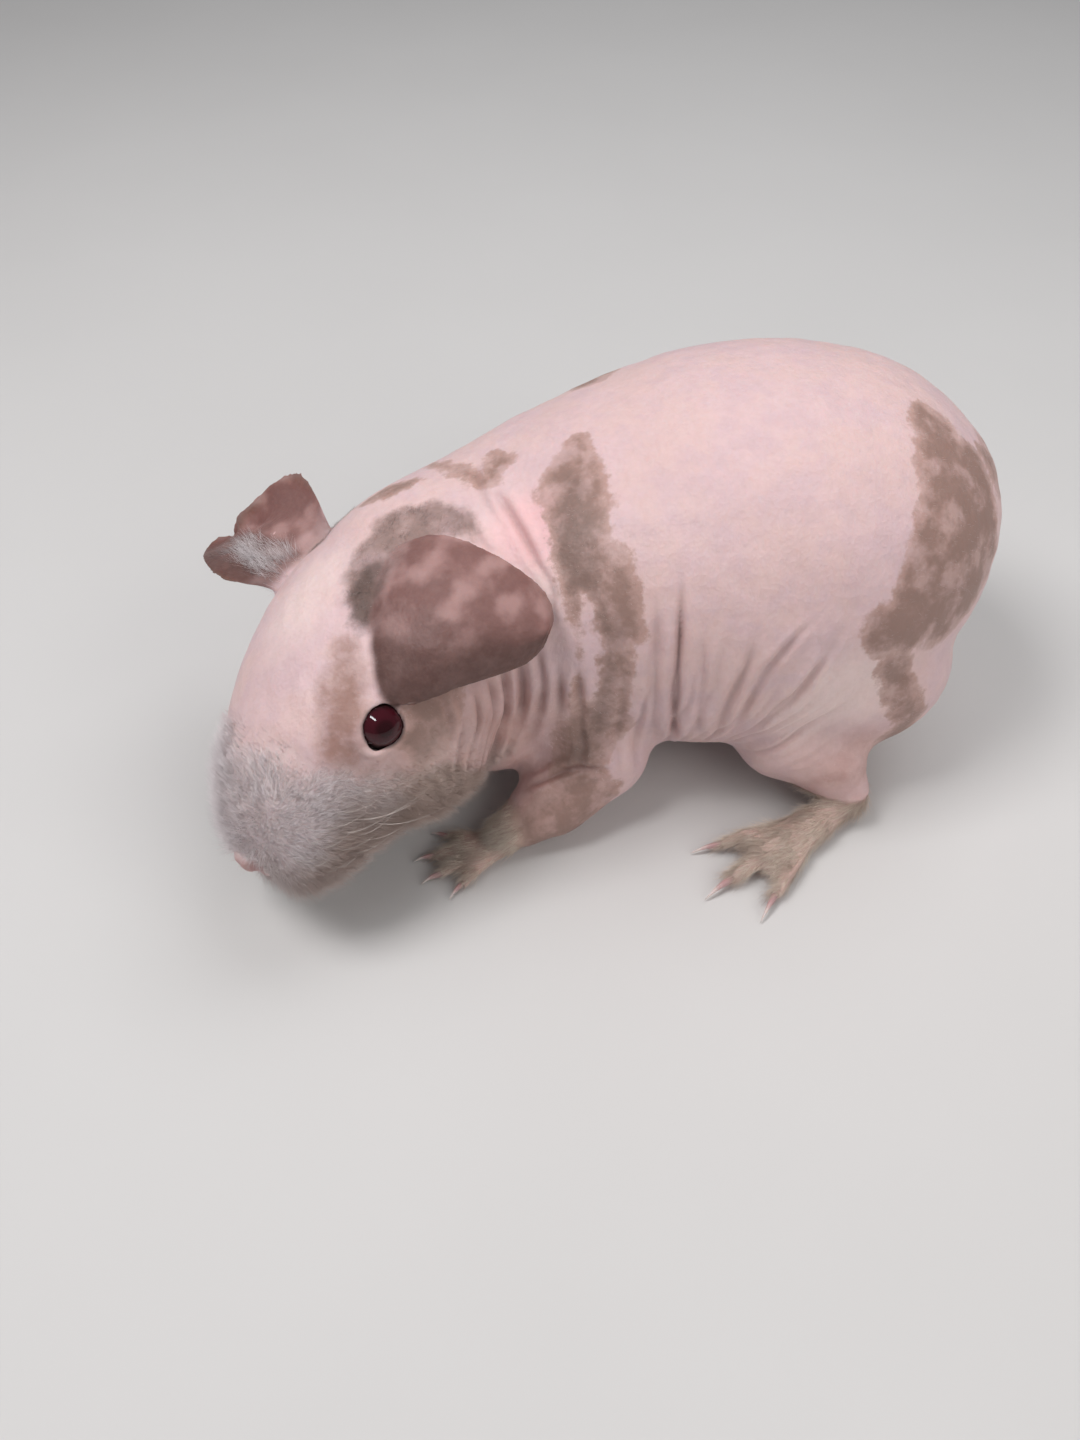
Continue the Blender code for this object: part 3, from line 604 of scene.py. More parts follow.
FLANK_CREASES = (
    Crease(((10.3, -31.0, 73.5), (9.6, -36.2, 66.6), (9.4, -39.4, 59.1), (9.4, -41.2, 46.6),
            (10.4, -39.5, 33.0), (11.8, -36.9, 22.0)), 1.0, 0.55, 0.45),
    Crease(((5.0, -33.6, 68.7), (5.1, -38.5, 58.7), (5.6, -40.3, 43.2), (6.4, -36.9, 24.8)),
           0.5, 0.8, 0.3, 0.35),
    Crease(((13.1, -35.9, 67.8), (14.3, -41.4, 54.9), (14.6, -41.8, 42.0), (16.1, -39.0, 26.7)),
           0.5, 0.8, 0.3, 0.3),
    Crease(((19.3, -39.0, 25.6), (20.4, -42.9, 43.7), (23.0, -42.6, 54.9), (23.9, -40.4, 63.4)),
           0.6, 0.8, 0.35, 0.3),
    Crease(((22.8, -39.3, 25.3), (25.0, -43.5, 46.7), (29.6, -42.8, 56.9), (36.4, -40.6, 63.8)),
           0.65, 0.9, 0.35, 0.35),
    Crease(((26.0, -40.2, 26.9), (30.2, -43.4, 39.6), (34.3, -43.8, 45.7), (39.0, -43.0, 55.6)),
           0.6, 0.9, 0.35, 0.3),
    Crease(((28.0, -40.0, 25.0), (34.0, -43.6, 34.0), (41.0, -44.2, 42.0)), 0.4, 0.9, 0.25, 0.25),
    Crease(((-9.8, -36.6, 52.0), (-9.4, -37.6, 42.0), (-10.5, -37.5, 29.0)), 0.6, 0.7, 0.3, 0.8),
    Crease(((-13.8, -35.8, 54.0), (-13.2, -36.4, 42.0), (-14.5, -36.5, 29.0)), 0.6, 0.6, 0.3, 0.9),
    Crease(((-21.9, -37.6, 14.3), (-17.6, -38.5, 18.0), (-12.1, -38.6, 20.8), (-6.9, -39.7, 22.0),
            (-1.0, -39.8, 21.0)), 1.0, 0.8, 0.5, 0.9),
)
NAPE_CREASES = (
    Crease(((-24.5, -4.5, 74.2), (-21.5, -10.5, 73.8), (-18.6, -18.0, 71.7), (-16.0, -24.6, 68.3),
            (-13.9, -28.9, 64.9), (-14.0, -33.0, 56.0)), 0.8, 0.42, 0.5, 0.35),
    Crease(((-30.4, -8.6, 72.6), (-27.8, -16.3, 71.4), (-24.0, -24.0, 68.3), (-21.5, -30.0, 62.0)),
           0.6, 0.6, 0.4, 0.2),
    Crease(((-24.4, 4.0, 73.0), (-24.9, -7.0, 73.7), (-22.6, -16.0, 71.9)), 0.35, 0.7, 0.2, 0.3),
)
THROAT_CREASES = tuple(
    Crease(path, depth, 0.55, 0.55, 1.0)
    for path, depth in (
        (((-38.2, -41.5, 56.0), (-36.2, -43.6, 50.2), (-35.7, -45.3, 45.0), (-37.2, -48.9, 38.5),
          (-39.5, -48.0, 29.0)), 0.8),
        (((-35.2, -40.5, 56.0), (-33.6, -42.4, 49.0), (-33.8, -44.3, 43.4), (-35.6, -48.4, 36.7),
          (-38.0, -47.5, 26.0)), 0.95),
        (((-31.4, -38.0, 58.0), (-30.4, -40.0, 49.5), (-30.6, -41.9, 41.8), (-33.4, -46.9, 35.2),
          (-36.5, -45.0, 23.0)), 1.05),
        (((-28.0, -36.5, 58.0), (-27.0, -37.5, 48.5), (-27.3, -38.5, 39.8), (-30.5, -43.8, 31.2),
          (-34.0, -41.0, 20.0)), 1.05),
        (((-25.2, -34.0, 59.0), (-24.2, -35.6, 46.8), (-24.9, -35.2, 35.7), (-28.1, -36.5, 23.7),
          (-32.0, -34.0, 14.0)), 1.0),
        (((-22.5, -33.0, 60.0), (-20.7, -34.8, 47.5), (-21.1, -34.8, 37.3), (-25.0, -35.9, 22.6),
          (-27.0, -35.9, 16.0)), 0.9),
        (((-19.5, -32.0, 63.0), (-17.0, -34.8, 50.8), (-17.0, -35.6, 40.9), (-20.6, -35.0, 22.1)), 0.9),
    )
)


class Mesh:
    """Small services for meshes made from arrays."""

    @staticmethod
    def rows(items: Any, key: str, kind: type, width: int) -> np.ndarray:
        """Reads one row of numbers for each point, edge, corner or triangle of a mesh.

        Args:
            items: the mesh's points, edges, corners or triangles.
            key: what is read from each.
            kind: the type of its numbers.
            width: how many numbers a row has.

        Returns:
            The rows.
        """
        flat = np.empty(len(items) * width, kind)
        items.foreach_get(key, flat)
        return flat.reshape(-1, width)

    @staticmethod
    def places(mesh: bpy.types.Mesh) -> np.ndarray:
        """The places of the mesh's points, in millimetres."""
        return Mesh.rows(mesh.vertices, "co", np.float32, 3).astype(float) / MM

    @staticmethod
    def normals(mesh: bpy.types.Mesh) -> np.ndarray:
        """The normals at the mesh's points."""
        return Mesh.rows(mesh.vertices, "normal", np.float32, 3).astype(float)

    @staticmethod
    def put(mesh: bpy.types.Mesh, places: np.ndarray) -> None:
        """Moves the mesh's points to places given in millimetres."""
        mesh.vertices.foreach_set("co", (places * MM).astype(np.float32).ravel())
        mesh.update()

    @staticmethod
    def triangles(mesh: bpy.types.Mesh) -> np.ndarray:
        """The mesh's triangles as rows of three points."""
        mesh.calc_loop_triangles()
        return Mesh.rows(mesh.loop_triangles, "vertices", np.int32, 3)

    @staticmethod
    def tree(mesh: bpy.types.Mesh, size: float) -> BVHTree:
        """A tree that finds the mesh's nearest point. It measures in units of that size in metres."""
        faces = [polygon.vertices[:] for polygon in mesh.polygons]
        return BVHTree.FromPolygons([vertex.co / size for vertex in mesh.vertices], faces)

    @staticmethod
    def join(parts: Sequence[tuple[np.ndarray, Faces]]) -> tuple[np.ndarray, Faces]:
        """Puts several sets of points and faces together.

        Args:
            parts: the points of each set in millimetres, and its faces.

        Returns:
            All the points and all the faces.
        """
        faces: list[list[int]] = []
        start = 0
        for places, sides in parts:
            faces += [[start + v for v in side] for side in sides]
            start += len(places)
        return np.vstack([places for places, _ in parts]), faces

    @staticmethod
    def cone(rings: int, spokes: int) -> list[tuple[int, ...]]:
        """The faces of rings that lead to a point, which follows the last ring. The first stays open.

        Args:
            rings: how many rings there are.
            spokes: how many points a ring has.

        Returns:
            The faces.
        """
        tip = rings * spokes
        faces: list[tuple[int, ...]] = []
        for i in range(spokes):
            j = (i + 1) % spokes
            for a in range(0, tip - spokes, spokes):
                b = a + spokes
                faces.append((a + i, b + i, b + j, a + j))
            faces.append((tip - spokes + i, tip, tip - spokes + j))
        return faces

    @staticmethod
    def note(mesh: bpy.types.Mesh, name: str, values: np.ndarray) -> None:
        """Keeps one number or one vector a point on the mesh, for the materials to read.

        Args:
            mesh: the mesh.
            name: the name that a material asks for.
            values: one number a point, or one row of three.
        """
        kind, key = ("FLOAT", "value") if values.ndim == 1 else ("FLOAT_VECTOR", "vector")
        layer = mesh.attributes.new(name, kind, "POINT")
        layer.data.foreach_set(key, values.astype(np.float32).ravel())

    @staticmethod
    def build(name: str, places: np.ndarray, faces: Faces) -> bpy.types.Object:
        """A new object in the scene from places in millimetres and faces.

        Args:
            name: the piece's name.
            places: rows of x, y, z in millimetres.
            faces: the points of each face.

        Returns:
            The object, shaded smooth.
        """
        mesh = bpy.data.meshes.new(name)
        mesh.from_pydata((places * MM).tolist(), [], faces)
        mesh.update()
        mesh.shade_smooth()
        obj = bpy.data.objects.new(name, mesh)
        bpy.context.scene.collection.objects.link(obj)
        return obj


class Value:
    """A socket that carries one number, and takes part in plain sums."""

    def __init__(self, shader: "Shader", socket: Any) -> None:
        """Wraps a socket of the shader."""
        self.shader = shader
        self.socket = socket

    def sum(self, operation: str, first: Any, second: Any) -> "Value":
        """Adds the Math node for one step of an expression.

        Args:
            operation: the Math node's operation.
            first: a Value or a number.
            second: a Value or a number.

        Returns:
            What the node gives.
        """
        node = self.shader.node("ShaderNodeMath", {"operation": operation}, {0: first, 1: second})
        return Value(self.shader, node.outputs[0])

    def __add__(self, other: Any) -> "Value":
        """This and the other."""
        return self.sum("ADD", self, other)

    def __radd__(self, other: Any) -> "Value":
        """The other and this."""
        return self.sum("ADD", other, self)

    def __sub__(self, other: Any) -> "Value":
        """This less the other."""
        return self.sum("SUBTRACT", self, other)

    def __rsub__(self, other: Any) -> "Value":
        """The other less this."""
        return self.sum("SUBTRACT", other, self)

    def __mul__(self, other: Any) -> "Value":
        """This times the other."""
        return self.sum("MULTIPLY", self, other)

    def __rmul__(self, other: Any) -> "Value":
        """The other times this."""
        return self.sum("MULTIPLY", other, self)

    def step(self, low: float, high: float) -> "Value":
        """Rises softly from 0 where this is low to 1 where it is high."""
        node = self.shader.node(
            "ShaderNodeMapRange",
            {"interpolation_type": "SMOOTHSTEP"},
            {"Value": self, "From Min": low, "From Max": high},
        )
        return Value(self.shader, node.outputs[0])


class Shader:
    """The node tree of one material."""

    def __init__(self, name: str) -> None:
        """Starts a material with its Principled shader.

        Args:
            name: the material's name.
        """
        self.material = bpy.data.materials.new(name)
        self.material.use_nodes = True
        self.tree = self.material.node_tree
        self.surface = self.tree.nodes["Principled BSDF"]

    def node(self, kind: str, settings: dict[str, Any], inputs: dict[Any, Any]) -> Any:
        """Adds any node.

        Args:
            kind: the node's type.
            settings: its settings, which are set first.
            inputs: a value, a colour, a socket or a Value for each of its sockets.

        Returns:
            The node.
        """
        node = self.tree.nodes.new(kind)
        for name, value in settings.items():
            setattr(node, name, value)
        for name, value in inputs.items():
            self.feed(node.inputs[name], value)
        return node

    def feed(self, socket: Any, value: Any) -> None:
        """Sets a socket to a value, or links it.

        Args:
            socket: the socket that takes it.
            value: a number, a colour, a socket or a Value.
        """
        if isinstance(value, Value):
            value = value.socket
        if isinstance(value, bpy.types.NodeSocket):
            self.tree.links.new(value, socket)
        elif isinstance(value, tuple) and len(value) == 3 and socket.type == "RGBA":
            socket.default_value = (*value, 1.0)
        else:
            socket.default_value = value

    def read(self, name: str) -> Value:
        """One number a point, as the mesh keeps it under that name."""
        node = self.node("ShaderNodeAttribute", {"attribute_name": name}, {})
        return Value(self, node.outputs["Fac"])

    def place(self) -> Any:
        """The place on the skin, or of the root of a hair, in metres."""
        node = self.node("ShaderNodeAttribute", {"attribute_name": "place"}, {})
        return node.outputs["Vector"]

    def stretched(self, place: Any, factors: Point) -> Any:
        """The place with each of its axes multiplied, so that what is drawn there is stretched."""
        node = self.node("ShaderNodeVectorMath", {"operation": "MULTIPLY"}, {0: place, 1: factors})
        return node.outputs[0]

    def noise(self, place: Any, size: float, detail: float = 3.0, rough: float = 0.5) -> Value:
        """Cloudy noise from 0 to 1.

        Args:
            place: the socket with the place in metres.
            size: the breadth of its clouds in millimetres.
            detail: how many finer clouds are laid over them.
            rough: how strong those are.

        Returns:
            The noise.
        """
        node = self.node(
            "ShaderNodeTexNoise",
            {},
            {"Vector": place, "Scale": 1 / (size * MM), "Detail": detail, "Roughness": rough},
        )
        return Value(self, node.outputs["Fac"])

    def cells(self, place: Any, size: float) -> Value:
        """Small cells like the grain of skin, 0 in their middles.

        Args:
            place: the socket with the place in metres.
            size: the breadth of a cell in millimetres.

        Returns:
            The distance to the nearest middle, as a share of the cells' size.
        """
        node = self.node("ShaderNodeTexVoronoi", {}, {"Vector": place, "Scale": 1 / (size * MM)})
        return Value(self, node.outputs["Distance"])

    def mix(self, share: Any, first: Any, second: Any) -> Any:
        """Mixes two colours.

        Args:
            share: how much of the second is taken.
            first: a colour or a socket.
            second: a colour or a socket.

        Returns:
            The socket with the mixed colour.
        """
        node = self.node("ShaderNodeMix", {"data_type": "RGBA"}, {0: share, 6: first, 7: second})
        return node.outputs[2]

    def bump(self, height: Value, strength: float, depth: float) -> None:
        """Lets a height raise the surface.

        Args:
            height: from 0 to 1.
            strength: how much of it shows.
            depth: the height of 1 in millimetres.
        """
        sockets = {"Strength": strength, "Distance": depth * MM, "Height": height}
        node = self.node("ShaderNodeBump", {}, sockets)
        self.feed(self.surface.inputs["Normal"], node.outputs[0])

    def finish(self, **sockets: Any) -> bpy.types.Material:
        """Sets the Principled shader's sockets.

        Args:
            sockets: their values, with underscores for the spaces in their names.

        Returns:
            The material.
        """
        for name, value in sockets.items():
            self.feed(self.surface.inputs[name.replace("_", " ")], value)
        return self.material


@dataclass(frozen=True)
class Hide:
    """The colours of the animal, which skin and hair share, with the painted shade of its folds, low
    places, ears, nostrils and mouth.
    """

    pale: Colour = (0.72, 0.525, 0.53)
    lilac: Colour = (0.65, 0.475, 0.50)
    beige: Colour = (0.72, 0.52, 0.505)
    # The painted shade of the low, tucked places.
    warm_shade: Colour = (0.53, 0.32, 0.285)
    brown: Colour = (0.305, 0.195, 0.165)
    brown_rim: Colour = (0.47, 0.30, 0.26)
    tanned: Colour = (0.33, 0.185, 0.15)
    fair: Colour = (0.86, 0.68, 0.65)
    grey: Colour = (0.225, 0.150, 0.128)
    dark: Colour = (0.085, 0.058, 0.048)
    ear: Colour = (0.215, 0.112, 0.102)
    ear_light: Colour = (0.42, 0.255, 0.24)
    # The dark of the ears' rims, and the painted shade over their lower parts.
    ear_rim_and_shade: Colour = (0.10, 0.055, 0.048)
    flush: Colour = (0.84, 0.50, 0.52)
    nose: Colour = (0.50, 0.29, 0.28)
    # The painted shade in the grooves of the folds.
    furrow_shade: Colour = (0.20, 0.095, 0.085)
    # The dark of the lids' rims, and the painted shade in the nostrils' slots and along the mouth.
    lid: Colour = (0.10, 0.07, 0.07)
    shade: Colour = (0.43, 0.255, 0.22)

    def paint(self, shader: Shader) -> Any:
        """Builds the colour of skin with all its markings and its painted shade.

        Args:
            shader: the material's tree.

        Returns:
            The socket with the colour.
        """
        place = shader.place()
        broad = shader.noise(place, 13, 4, 0.55)
        mottle = shader.noise(place, 5, 4, 0.6)
        ragged = shader.noise(place, 5.5, 6, 0.66)
        fine = shader.noise(place, 1.6, 4, 0.65)
        islands = shader.noise(place, 6.0, 3, 0.55)
        colour = shader.mix(broad.step(0.40, 0.60), self.beige, self.pale)
        colour = shader.mix((mottle + (broad - 0.5) * 0.6).step(0.40, 0.70) * 0.6, colour, self.lilac)
        colour = shader.mix(shader.read("fair") * 0.8, colour, self.fair)
        colour = shader.mix(shader.read("blush") * 0.9, colour, self.flush)
        # Painted shade in the low, tucked places, broken by random mottle.
        colour = shader.mix(shader.read("warm_shade") * ((mottle - 0.5) * 1.6 + 0.62), colour, self.warm_shade)
        colour = shader.mix(shader.read("shade") * 0.42, colour, self.shade)
        edge = (ragged - 0.5) * 9.0
        reach = shader.read("brown") + edge
        pale_spots = (islands + (fine - 0.5) * 0.25).step(0.42, 0.70)
        colour = shader.mix(reach.step(-0.9, 0.5) * (0.9 - pale_spots * 0.35), colour, self.brown_rim)
        core = reach.step(0.2, 3.0) * (0.95 - pale_spots * 0.7)
        colour = shader.mix(core, colour, self.brown)
        tanned = (shader.read("tanned") + edge * 0.7).step(-2.0, 2.8) * (0.9 - pale_spots * 0.4)
        colour = shader.mix(tanned, colour, self.tanned)
        grey = (shader.read("grey") + edge * 0.8).step(-1.2, 2.6)
        colour = shader.mix(grey * (0.8 - pale_spots * 0.25), colour, self.grey)
        dark = (shader.read("dark") + edge * 0.5).step(-1.5, 1.5)
        colour = shader.mix(dark * 0.75, colour, self.dark)
        clouds = shader.noise(place, 6.0, 2, 0.35)
        ear = shader.mix((clouds + (fine - 0.5) * 0.1).step(0.40, 0.72) * 0.9, self.ear, self.ear_light)
        # The ears' own dark rims, and painted shade over their lower halves and under their rolled
        # edges.
        low = (shader.read("ear_rim_and_shade") + (mottle - 0.5) * 0.45).step(0.0, 0.9)
        ear = shader.mix(low * 0.9, ear, self.ear_rim_and_shade)
        colour = shader.mix(shader.read("ear_tint"), colour, ear)
        colour = shader.mix(shader.read("nose") * 0.85, colour, self.nose)
        # The lids' own dark rims, and painted shade in the nostrils' slots and along the mouth.
        colour = shader.mix(shader.read("rim"), colour, self.lid)
        # Painted shade: a dark line in the groove of each fold.
        colour = shader.mix(shader.read("furrow_shade") * 0.6, colour, self.furrow_shade)
        return shader.mix(fine.step(0.35, 0.7) * 0.10, colour, self.shade)


@dataclass(frozen=True)
class SkinFinish:
    """Bare skin: soft, faintly glossy and finely grained, with the down that lies flat on the muzzle."""

    hide: Hide = field(default_factory=Hide)
    down: Colour = (0.72, 0.65, 0.65)
    sandy: Colour = (0.62, 0.44, 0.37)
    tan: Colour = (0.40, 0.30, 0.24)

    def make(self) -> bpy.types.Material:
        """Makes the material of the skin.

        Returns:
            The material.
        """
        shader = Shader("skin")
        place = shader.place()
        colour = self.hide.paint(shader)
        colour = shader.mix(shader.read("down") * 0.7, colour, self.down)
        # Light brown hair low on the face, and painted shade darker towards the bottom.
        colour = shader.mix(shader.read("tan") * shader.read("down") * 0.6, colour, self.tan)
        colour = shader.mix(shader.read("sandy") * 0.7, colour, self.sandy)
        grain = shader.cells(place, 0.9)
        lines = shader.noise(shader.stretched(place, (1.0, 1.0, 0.35)), 1.2, 4, 0.65)
        creping = shader.noise(shader.stretched(place, (1.0, 1.0, 0.22)), 2.6, 2, 0.5)
        height = grain * 0.3 + lines * 0.9 + creping * 0.9
        shader.bump(height, 0.6, 0.28)
        rough = shader.noise(place, 9, 3) * 0.18 + 0.40
        return shader.finish(
            Base_Color=colour,
            Roughness=rough,
            IOR=1.4,
            Subsurface_Weight=0.15,
            Subsurface_Radius=(0.0036, 0.0014, 0.0009),
            Subsurface_Scale=1.0,
        )


@dataclass(frozen=True)
class HairFinish:
    """Hair: the skin's own markings and painted shade, changed towards the hair's colour."""

    name: str
    colour: Colour
    cover: float
    tan: Colour = (0.46, 0.33, 0.26)
    hide: Hide = field(default_factory=Hide)

    def make(self) -> bpy.types.Material:
        """Makes the material of one kind of hair.

        Returns:
            The material.
        """
        shader = Shader(self.name)
        skin = self.hide.paint(shader)
        tone = shader.read("tone")
        deep = tuple(c * 0.8 for c in self.colour)
        bright = tuple(min(1, c * 1.18) for c in self.colour)
        own = shader.mix(tone, deep, bright)
        # Light brown hair low on the face, and painted shade darker towards the bottom; random streaks
        # on the feet.
        own = shader.mix(shader.read("tan") * 0.8, own, self.tan)
        colour = shader.mix(shader.read("cover") * self.cover, skin, own)
        return shader.finish(Base_Color=colour, Roughness=tone * 0.1 + 0.5)


@dataclass(frozen=True)
class EyeFinish:
    """A dark ruby eye, nearly black round its rim, under a wet gloss."""

    pupil: Colour = (0.022, 0.002, 0.004)
    ruby: Colour = (0.048, 0.005, 0.010)
    rim: Colour = (0.008, 0.004, 0.004)

    def make(self) -> bpy.types.Material:
        """Makes the material of the eyes. The mesh keeps how far each point is from the eye's axis.

        Returns:
            The material.
        """
        shader = Shader("eye")
        away = shader.read("away")
        streaks = shader.noise(shader.place(), 0.9, 3)
        colour = shader.mix(away.step(0.2, 0.42), self.pupil, self.ruby)
        colour = shader.mix((away + (streaks - 0.5) * 0.12).step(0.58, 0.80), colour, self.rim)
        return shader.finish(Base_Color=colour, Roughness=streaks * 0.03 + 0.04, IOR=1.4)


@dataclass(frozen=True)
class ClawFinish:
    """A translucent claw, mauve at its root where the quick shows, and paler at its tip."""

    root: Colour = (0.50, 0.31, 0.31)
    tip: Colour = (0.70, 0.60, 0.57)

    def make(self) -> bpy.types.Material:
        """Makes the material of the claws. The mesh keeps how far along the claw each point is.

        Returns:
            The material.
        """
        shader = Shader("claw")
        along = shader.read("along")
        streaks = shader.noise(shader.place(), 0.7, 3)
        colour = shader.mix((along + (streaks - 0.5) * 0.4).step(0.25, 0.75), self.root, self.tip)
        return shader.finish(
            Base_Color=colour,
            Roughness=streaks * 0.15 + 0.25,
            Subsurface_Weight=0.25,
            Subsurface_Radius=(0.0015, 0.0008, 0.0006),
            Subsurface_Scale=1.0,
        )


@dataclass
class Skin:
    """The one skin of the whole animal: the solids of flesh grown together, then given its folds."""

    voxel: float = 0.5
    overlap: float = 0.24
    ear_overlap: float = 0.45
    smooth_rounds: int = 14
    ear_rounds: int = 10
    to_and_fro: tuple[float, float] = (0.55, -0.56)
    muzzle_depth: float = 0.7
    foot_depth: float = 0.55
    nostril_depth: float = 0.9
    lid_edge: float = 5.5
    lid_rim: float = 6.2
    lid_corners: tuple[tuple[Point, float, float], ...] = (
        ((0.93, 0.0, -0.35), 1.1, 0.30),
        ((-0.7, 0.0, 0.7), 0.65, 0.42),
    )
    patch_reach: float = 12.0
    nape: Point = (-17.0, -19.0, 72.0)
    obj: Any = None
    fields: dict[str, np.ndarray] = field(default_factory=dict)

    def build(self, finish: SkinFinish) -> None:
        """Makes the skin, shapes it and dresses it.

        Args:
            finish: its finish.
        """
        self.obj = self.grow_together()
        mesh = self.obj.data
        places = Mesh.places(mesh)
        ears = self.near_nodes(places, EAR_NODES, 0.7, 2.0)
        grown = self.overlap + (self.ear_overlap - self.overlap) * ears
        Mesh.put(mesh, places - Mesh.normals(mesh) * grown[:, None])
        self.relax(mesh, (0.4,) + self.to_and_fro * self.ear_rounds, ears[:, None])
        self.mark(Mesh.places(mesh))
        self.shape(mesh)
        self.mark_face(Mesh.places(mesh))
        for name in MARKINGS_AND_SHADE + SKIN_MARKINGS:
            Mesh.note(mesh, name, self.fields[name])
        Mesh.note(mesh, "place", Mesh.places(mesh) * MM)
        mesh.materials.clear()
        mesh.materials.append(finish.make())
        mesh.shade_smooth()
        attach(self.obj, "root")
        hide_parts(*FLESH)
        LOG.info("skin: %d faces", len(mesh.polygons))

    def grow_together(self) -> bpy.types.Object:
        """The solids of flesh as one closed surface.

        Returns:
            A new object, a little larger than the solids by the overlap.
        """
        parts = []
        for name in FLESH:
            overlap = self.ear_overlap if name in EAR_NODES else self.overlap
            parts.append(self.welded(frame["nodes"][name].data, overlap))
        joined = Mesh.build("skin", *Mesh.join(parts))
        remesh = joined.modifiers.new("one surface", "REMESH")
        remesh.mode = "VOXEL"
        remesh.voxel_size = self.voxel * MM
        depsgraph = bpy.context.evaluated_depsgraph_get()
        grown = bpy.data.meshes.new_from_object(joined.evaluated_get(depsgraph))
        old = joined.data
        joined.modifiers.clear()
        joined.data = grown
        bpy.data.meshes.remove(old)
        grown.name = "skin"
        self.relax(grown, (0.6, 0.6) + self.to_and_fro * self.smooth_rounds, 1.0)
        return joined

    def relax(self, mesh: bpy.types.Mesh, factors: Sequence[float], share: Any) -> None:
        """Smooths away the grid that the surface was grown on, and hardly shrinks it.

        Args:
            mesh: the skin's mesh.
            factors: how far each round draws the points towards their neighbours.
            share: how much of that each point takes.
        """
        near, far = Mesh.rows(mesh.edges, "vertices", np.int32, 2).T
        places = Mesh.places(mesh)
        count = len(places)
        links = np.bincount(near, minlength=count) + np.bincount(far, minlength=count)
        for factor in factors:
            total = [
                np.bincount(near, places[far, k], count) + np.bincount(far, places[near, k], count)
                for k in range(3)
            ]
            places += share * factor * (np.column_stack(total) / links[:, None] - places)
        Mesh.put(mesh, places)

    def welded(self, mesh: bpy.types.Mesh, overlap: float) -> tuple[np.ndarray, Faces]:
        """A solid's points, each once, pushed out by the overlap, and its faces.

        Args:
            mesh: the solid's mesh, which is only read.
            overlap: how far the points are pushed out, in millimetres.

        Returns:
            The places in millimetres and the faces.
        """
        places = Mesh.places(mesh)
        _, first, back = np.unique(
            np.round(places * 1000).astype(np.int64), axis=0, return_index=True, return_inverse=True
        )
        spots = places[first]
        triangles = back.ravel()[Mesh.triangles(mesh)]
        one, two, three = spots[triangles.T]
        across = np.cross(two - one, three - one)
        normals = np.zeros_like(spots)
        for corner in range(3):
            np.add.at(normals, triangles[:, corner], across)
        spots = spots + unit(normals) * overlap
        return spots, [list(t) for t in triangles.tolist() if len(set(t)) == 3]

    def mark(self, places: np.ndarray) -> None:
        """Works out the markings at every point.

        Args:
            places: the points in millimetres.
        """
        local = HEAD.to_head(places)
        for name, patches in (
            ("brown", BROWN_PATCHES),
            ("grey", GREY_PATCHES),
            ("dark", DARK_PATCHES),
            ("tanned", TAN_PATCHES),
        ):
            self.fields[name] = self.deepest(patches, places, local)
        pink = self.deepest(PINK_PATCHES, places, local)
        for name in ("brown", "grey"):
            self.fields[name] = np.minimum(self.fields[name], -pink)
        self.fields["ear"] = self.near_nodes(places, EAR_NODES, 0.2, 2.0)
        self.fields["foot"] = self.near_nodes(places, FEET, 0.2, 3.0)
        self.fields["head"] = self.near_nodes(places, ("head",), 0.5, 5.0)

    def deepest(self, patches: Sequence[Patch], places: np.ndarray, local: np.ndarray) -> np.ndarray:
        """How deep places lie inside the nearest of some patches.

        Args:
            patches: the patches.
            places: the places in the frame, in millimetres.
            local: the same places in the head's axes.

        Returns:
            Millimetres, above 0 inside a patch, and never beyond the patches' reach.
        """
        depth = np.full(len(places), -self.patch_reach)
        for patch in patches:
            depth = np.maximum(depth, patch.depth(places, local))
        return np.minimum(depth, self.patch_reach)

    def near_nodes(
        self, places: np.ndarray, names: Sequence[str], inner: float, outer: float
    ) -> np.ndarray:
        """1 on the given solids, falling to 0 a little way off them.

        Args:
            places: the points in millimetres.
            names: the solids.
            inner: how far off them it is still 1, in millimetres.
            outer: how far off them it is 0.

        Returns:
            One number a point.
        """
        near = np.zeros(len(places))
        for name in names:
            tree = Mesh.tree(frame["nodes"][name].data, MM)
            low, high = (np.array(c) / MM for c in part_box(name))
            inside = np.flatnonzero(np.all((places > low - outer) & (places < high + outer), axis=1))
            gaps = np.array([tree.find_nearest(Vector(places[i]))[3] or outer for i in inside])
            near[inside] = np.maximum(near[inside], smooth_step(gaps, outer, inner))
        return near

    def shape(self, mesh: bpy.types.Mesh) -> None:
        """Presses the folds, the lids and the fine unevenness of the body into the skin, and sets the
        folds' painted shade.

        Args:
            mesh: the skin's mesh.
        """
        places = Mesh.places(mesh)
        local = HEAD.to_head(places)
        normals = Mesh.normals(mesh)
        off_ear = 1 - self.fields["ear"]
        shift, furrow_shade, shade = np.zeros((3, len(places)))
        far_side = tuple(replace(fold, depth=fold.depth * 0.8, mirrored=True) for fold in FLANK_CREASES)
        creases = FLANK_CREASES + NAPE_CREASES + THROAT_CREASES + far_side
        folds = [crease.press(places) for crease in creases]
        folds.append(Fan().press(places, normals))
        for moved, deep, soft in folds:
            shift += moved * off_ear
            furrow_shade = np.maximum(furrow_shade, deep * off_ear)
            shade = np.maximum(shade, soft * off_ear)
